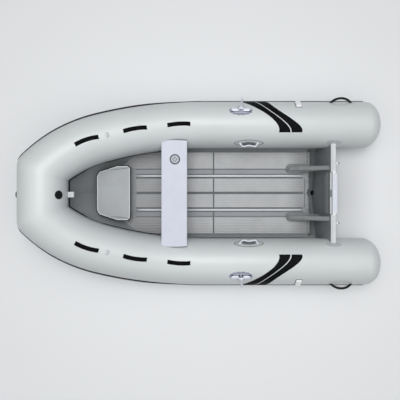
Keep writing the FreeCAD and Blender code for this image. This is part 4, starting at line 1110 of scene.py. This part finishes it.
def rowlock_ear(here, ahead, around, out, start, end):
    """A lug across the boat: straight sides up to the bolt's height, closed by a half round, edges eased."""
    turn = np.linspace(0, math.pi, 19)
    profile = np.stack([0.011 * np.cos(turn), BOLT_HEIGHT + 0.011 * np.sin(turn)], -1)
    profile = np.concatenate([[[0.011, -0.002]], profile, [[-0.011, -0.002]]])
    middle = profile.mean(0)
    rings = []
    for step, inset in ((start, 0.9), (start + 0.0008, 1), (end - 0.0008, 1), (end, 0.9)):
        plan = middle + (profile - middle) * inset
        rings.append(here + step * ahead + plan[:, :1] * around + plan[:, 1:] * out)
    return closed_tube(np.array(rings))


SKIRT_RAYS = [0.001, 0.5, 0.9, 0.98, 1.0, 1.0]
SKIRT_LIFTS = [0.0022, 0.0022, 0.0022, 0.0018, 0.001, -0.001]
PLATE_RAYS = [0.001, 0.6, 0.86, 0.94, 0.98, 1.0, 1.0]
PLATE_LIFTS = [0.0075, 0.0075, 0.0072, 0.0062, 0.0045, 0.0025, -0.0005]
head_profile = [(0.0068, 0.0), (0.0068, 0.0035), (0.0055, 0.0048), (0.001, 0.0052)]
shadow_stud_profile = [(0.0062, -0.001), (0.0062, 0.012), (0.0050, 0.0150), (0.002, 0.0160)]
scallop = 1 + 0.05 * np.cos(14 * full_turn(96))
for word, side in SIDES:
    here, ahead, around, out = tube_frame(ROWLOCK_X, ROWLOCK_ANGLE, side)
    bolt_at = here + BOLT_HEIGHT * out
    skirt_angle = ROWLOCK_ANGLE - 0.006 / RADIUS
    skirt = skin_rings(
        ROWLOCK_X, skirt_angle, 0.214 * scallop, 0.094 * scallop, SKIRT_RAYS, SKIRT_LIFTS, side, 96
    )
    plate = skin_rings(ROWLOCK_X, ROWLOCK_ANGLE, 0.196, 0.072, PLATE_RAYS, PLATE_LIFTS, side, 96)
    lobes = [rowlock_lobe(way * 0.0185, way * 0.0915, side) for way in (1, -1)]
    # Black rims a little wider and lower than the lobes: painted shade, the dark line round the raised bar
    shadow_rims = [rowlock_lobe(way * 0.0145, way * 0.0945, side, 0.0030, 0.0102, 0.001) for way in (1, -1)]
    ears = [rowlock_ear(here, ahead, around, out, *ends) for ends in ((0.0085, 0.0175), (-0.0175, -0.0085))]
    heads = [lathe(head_profile, bolt_at + way * 0.0176 * ahead, way * ahead, 6) for way in (1, -1)]
    bolt = rod([bolt_at + x * ahead for x in (-0.018, -0.01, 0.01, 0.018)], 0.0039, 16)
    # Two black studs by the pin's foot, inboard: painted shade of the pockets beside the ears
    shadow_studs_at = here - 0.0205 * around + 0.006 * out
    shadow_studs = [lathe(shadow_stud_profile, shadow_studs_at + x * ahead, out, 20) for x in (-0.0150, 0.0150)]
    piece(f"{word}_rowlock_skirt", closed_tube(skirt), skirt_plastic, sharp=50)
    piece(f"{word}_rowlock_plate", closed_tube(plate), plate_paint, replaced=[f"rowlock_base_{word}"])
    piece(f"{word}_rowlock_casting", together([*lobes, *ears]), cast_metal, sharp=45)
    piece(f"{word}_rowlock_shadow_pieces", together([*shadow_rims, *shadow_studs]), black_rubber, sharp=45)
    piece(f"{word}_rowlock_bolt", together([bolt, *heads]), stainless)

# Nylon sleeves on the folding pins: a foot flange, a plain shaft and a domed cap, turned about the pin
sleeve = [(0.0068, 0.0), (0.0118, 0.0005), (0.0122, 0.0022), (0.0118, 0.0050), (0.0096, 0.0062)]
sleeve += [(0.0092, 0.0080), (0.0090, 0.1080), (0.0108, 0.1095), (0.0110, 0.1130), (0.0104, 0.1155)]
sleeve += [(0.0080, 0.1172), (0.002, 0.1180)]
for word, side in SIDES:
    here, _, _, out = tube_frame(ROWLOCK_X, ROWLOCK_ANGLE, side)
    turned = lathe(sleeve, here + 0.0465 * out, out)
    piece(f"{word}_pin_sleeve", turned, handle_plastic, body=f"rowlock_pin_{word}", sharp=45)

# Carrying handles: a bowed bar on two splayed legs, over an oval pad with a dark welt round it;
# a dark oval on the pad under the bar is painted shadow of the bar
HANDLE_X, HANDLE_ANGLE = -0.434, -58
t = np.linspace(-1, 1, 25)
bar = np.stack([0.058 * t, 0.0385 - 0.012 * np.cos(math.pi / 2 * t) ** 2], -1)
corners = np.concatenate([[[-0.082, 0.003], [-0.079, 0.012]], bar, [[0.079, 0.012], [0.082, 0.003]]])
foot_profile = [(0.013, 0.0), (0.013, 0.003), (0.010, 0.006), (0.008, 0.008)]
for word, side in SIDES:
    here, ahead, around, out = tube_frame(HANDLE_X, math.radians(HANDLE_ANGLE), side)
    path = here + corners[:, :1] * ahead + corners[:, 1:] * out
    handle = [rod(smooth_path(path, 0.009, 4), 0.0075, 14)]
    handle += [lathe(foot_profile, here + x * ahead + 0.004 * out, out, 24) for x in (-0.082, 0.082)]
    piece(f"{word}_carry_loop", together(handle), handle_plastic, replaced=[f"carry_handle_{word}"])
    moat = [skin_oval(HANDLE_X, HANDLE_ANGLE, 0.276, 0.094, 0.0012, side)]
    moat.append(skin_oval(HANDLE_X, HANDLE_ANGLE - 1, 0.150, 0.060, 0.0060, side))
    piece(f"{word}_handle_welt_and_shadow", together(moat), welt_and_shade_plastic)
    pad = skin_oval(HANDLE_X, HANDLE_ANGLE, 0.262, 0.080, 0.0046, side, dome=0.0006)
    piece(f"{word}_handle_patch", pad, pad_fabric, replaced=[f"handle_pad_{word}"])

# Stern handles: a ribbed rubber grip over each bent rod, on the circle through its two feet and its crown
rise, span = 0.0505, 0.1
circle = (rise**2 + span**2) / (2 * rise)
lean = math.asin(span / circle)
t = np.linspace(-lean, lean, 61)[:, None]
for word, side in SIDES:
    here, ahead, around, out = tube_frame(STERN_HANDLE_X, math.radians(STERN_HANDLE_ANGLE), side)
    path = here + circle * np.sin(t) * ahead + (0.043 - circle * (1 - np.cos(t))) * out
    piece(f"{word}_stern_grip", rod(path, 0.0108 + 0.0004 * np.cos(36 * t[:, 0] / lean)), black_rubber)

# Oar clips: a moulded block with eased edges and a bell-shaped channel along it for the shaft, on a thin dark
# bed:
# painted shadow round the block
CLIP_X, CLIP_ANGLE = -0.89, math.radians(52)
clip_x = CLIP_X + 0.05 * (shares(13, 0.06)[:, None] - 0.5)
across = 0.085 * (shares(25, 0.05) - 0.5)
border = np.minimum(0.025 - np.abs(clip_x - CLIP_X), 0.0425 - np.abs(across))
clip_lift = 0.0195 - 3.7 * edge_fall(border, 0.005) - 0.003 * np.exp(-((across / 0.006) ** 4))
bed_x = CLIP_X + 0.061 * (shares(9, 0.06)[:, None] - 0.5)
bed_turn = CLIP_ANGLE + 0.097 * (shares(15, 0.05) - 0.5) / RADIUS
for word, side in SIDES:
    piece(f"{word}_oar_clip_shadow_bed", skin_sheet(bed_x, bed_turn, 0.0022, side), welt_and_shade_plastic)
    clip = skin_sheet(clip_x, CLIP_ANGLE + across / RADIUS, clip_lift, side)
    piece(f"{word}_oar_clip_block", clip, bright_plastic, replaced=[f"oar_clip_{word}"])

# Fittings on the bow tube, a little to port of its middle
FITTING_Y = 0.009


def bow_frame(angle):
    """A point on the bow tube's skin, at an angle aft of its crest, and directions across, around and out."""
    out = np.array([-math.sin(angle), 0, math.cos(angle)])
    across = np.array([0, 1.0, 0])
    here = np.array([BOW_X, FITTING_Y, BOW_Z]) + out * RADIUS
    return here, across, np.cross(out, across), out


# Filling valve: a knurled cap with a raised middle, on a thin flange
here, across, around, out = bow_frame(math.radians(55))
valve_profile = [(0.038, -0.004), (0.038, 0.0022), (0.0365, 0.0032), (0.0325, 0.0034), (0.0320, 0.0085)]
valve_profile += [(0.0305, 0.0100), (0.0200, 0.0103), (0.0190, 0.0085), (0.0120, 0.0085), (0.0110, 0.0103)]
radius, height = np.array([*valve_profile, (0.001, 0.0105)]).T[:, :, None]
turn = full_turn(96)
rim = (radius * (1 + 0.02 * np.cos(24 * turn) * ((height > 0.0035) & (radius > 0.025))))[..., None]
knurled = rim * (np.cos(turn)[:, None] * across + np.sin(turn)[:, None] * around)
valve = closed_tube(here + height[..., None] * out + knurled)
piece("filling_valve_cap", valve, black_rubber, replaced=["air_valve"])

# Painter fairlead: two lobes side by side, superellipses in plan, with a bridge in the slot between them
here, across, around, out = bow_frame(math.radians(92))
lobe_out = np.array([0.0015, 0.004, 0.02, 0.046, 0.053, 0.0565, 0.058])[:, None, None]
scale = np.array([1, 1, 1, 1, 0.93, 0.78, 0.45])[:, None, None]
turn = full_turn(32)[:, None]
lobe_y, lobe_z = (np.sign(wave) * np.abs(wave) ** 0.4 for wave in (np.cos(turn), np.sin(turn)))
ring = scale * (0.0118 * lobe_y * across + 0.013 * lobe_z * around)
lobes = [closed_tube(here + shift * across + lobe_out * out + ring) for shift in (-0.0135, 0.0135)]
bridge = np.array([(-0.005, -0.011), (0.005, -0.011), (0.005, 0.011), (-0.005, 0.011)])
bridge = bridge[:, :1] * across + bridge[:, 1:] * around
lobes.append(closed_tube(here + np.array([0.0015, 0.0535])[:, None, None] * out + bridge))
piece("painter_fairlead", together(lobes), fairlead_plastic, replaced=["painter_block"], sharp=50)

# Towing ring, forward of the strake
turn = full_turn(48)[:, None]
ring_turn = full_turn(16)
reach = 0.026 + 0.006 * np.cos(ring_turn)
ring = xyz(1.65 + 0.006 * np.sin(ring_turn), FITTING_Y + reach * np.cos(turn), BOW_Z + reach * np.sin(turn))
piece("towing_ring", closed_loop(ring), black_rubber, replaced=["tow_ring"])

# Floor: pale, with an opening where the hull dips below the water's level
keel_run = np.linspace(-1.15, 0.91, 60)
keel = -0.1 + (BOW_Z - 0.128) * np.clip((keel_run - 0.3) / (BOW_X - 0.45), 0, 1) ** 3.2
chine = skin(keel_run, -math.asin(0.15 / RADIUS), 0.0)
dry = np.clip(-keel / (sheer(keel_run) - 0.215 - keel), 0, 1)
half_beam = np.clip(chine[:, 1] * dry - 0.008, 0.004, None)
outline = np.concatenate([np.stack([keel_run, half_beam], -1), np.stack([keel_run, -half_beam], -1)[::-1]])
spread = outline - outline.mean(0)
spread /= np.linalg.norm(spread, axis=1, keepdims=True)
rings = np.concatenate([[0], np.geomspace(0.3, 30, 14)])[:, None, None]
ground = outline + rings * spread
floor_mesh = bpy.data.meshes.new("studio_floor")
floor_faces = grid_faces(len(rings), len(outline), wrap=True)
floor_points = xyz(ground[..., 0], ground[..., 1], 0).reshape(-1, 3)
floor_mesh.from_pydata(floor_points.tolist(), [], floor_faces.tolist())
if floor_mesh.polygons[0].normal.z < 0:
    floor_mesh.flip_normals()
floor = bpy.data.objects.new("studio_floor", floor_mesh)
bpy.context.scene.collection.objects.link(floor)

# Studio floor paint: matt, pale. It is a shade darker on the key's side, so that the floor looks even,
# and it carries a painted shadow behind the transom, between the tubes' ends
floor_paint = material("studio_floor_paint", "#e6e8ea", 0.9, IOR=1.45, Specular_IOR_Level=0.0)
floor_mesh.materials.append(floor_paint)
tree, shader, coords = parts_of(floor_paint)
across = add(tree, "ShaderNodeVectorMath", [(0, coords)], operation="DOT_PRODUCT")
across.inputs[1].default_value = (-0.3, 1.4, 0)
drift = ramp(tree, across.outputs["Value"], -4.0, 4.0, kind="LINEAR")
even = blend(tree, drift, "#e6e8ea", "#f2f4f6")
painted_shadow_spot = add(tree, "ShaderNodeMapping", [("Vector", coords)], Location=(1.42 / 0.42, 0, 0))
painted_shadow_spot.inputs["Scale"].default_value = (1 / 0.42, 1 / 0.8, 1)
painted_shadow_spot = add(tree, "ShaderNodeVectorMath", [(0, painted_shadow_spot.outputs["Vector"])], operation="LENGTH").outputs["Value"]
shaded = blend(tree, ramp(tree, painted_shadow_spot, 0.0, 1.0, 0.23, 0.0), even, "#000000")
tree.links.new(shader.inputs["Base Color"], shaded)


def seen_rays(tree):
    """One for the rays that show the backdrop: camera, glossy and transmission."""
    rays = add(tree, "ShaderNodeLightPath").outputs
    direct = maths(tree, "MAXIMUM", rays["Is Camera Ray"], rays["Is Glossy Ray"])
    return maths(tree, "MAXIMUM", direct, rays["Is Transmission Ray"])


# Far from the boat the floor turns into the backdrop's own colour
BACKDROP = linear("#dcdfe2")
far = add(tree, "ShaderNodeVectorMath", [(0, coords)], operation="LENGTH").outputs["Value"]
far = maths(tree, "MULTIPLY", seen_rays(tree), ramp(tree, far, 3.0, 7.5))
glow = add(tree, "ShaderNodeEmission", Color=BACKDROP, Strength=1.0)
faded = add(tree, "ShaderNodeMixShader", [("Fac", far), (1, shader.outputs["BSDF"]), (2, glow.outputs[0])])
output = next(n for n in tree.nodes if n.type == "OUTPUT_MATERIAL")
tree.links.new(output.inputs["Surface"], faded.outputs[0])

# World: even pale studio, a touch brighter where the camera sees past the floor
world = bpy.data.worlds.new("studio")
bpy.context.scene.world = world
world.use_nodes = True
tree = world.node_tree
tree.nodes.clear()
sky = add(tree, "ShaderNodeBackground", Color=linear("#f2f3f4"), Strength=0.05)
seen = add(tree, "ShaderNodeBackground", Color=BACKDROP, Strength=1.0)
links = [("Fac", seen_rays(tree)), (1, sky.outputs[0]), (2, seen.outputs[0])]
backdrop = add(tree, "ShaderNodeMixShader", links)
add(tree, "ShaderNodeOutputWorld", [("Surface", backdrop.outputs[0])])


def lamp(name, place, target, width, power):
    """A square white soft box at a place, turned to a target."""
    data = bpy.data.lights.new(name, "AREA")
    data.shape = "SQUARE"
    data.size = width
    data.energy = power
    made = bpy.data.objects.new(name, data)
    made.location = place
    made.rotation_euler = Vector(np.subtract(target, place)).to_track_quat("-Z", "Y").to_euler()
    bpy.context.scene.collection.objects.link(made)


lamp("key_softbox", (0.4, -1.8, 9.6), (0.0, 0, 0.2), 5.0, 350)
lamp("broad_softbox", (-0.2, 0.1, 7.5), (-0.1, 0, 0), 14.0, 645)

# Camera: straight above, its picture centre a little to starboard
FOCAL_PIXELS, SHIFT_PIXELS, FRAME_PIXELS = 438.7, -13.4, 400
camera_data = bpy.data.cameras.new("camera")
camera_data.sensor_width = 36
camera_data.lens = FOCAL_PIXELS / FRAME_PIXELS * 36
camera_data.shift_y = SHIFT_PIXELS / FRAME_PIXELS
camera_data.clip_end = 100
camera = bpy.data.objects.new("camera", camera_data)
camera.location = (0.0205, -0.0624, 4.4265)
camera.rotation_euler = (0, 0, math.pi)
bpy.context.scene.collection.objects.link(camera)
bpy.context.scene.camera = camera
bpy.context.scene.view_settings.view_transform = "Standard"
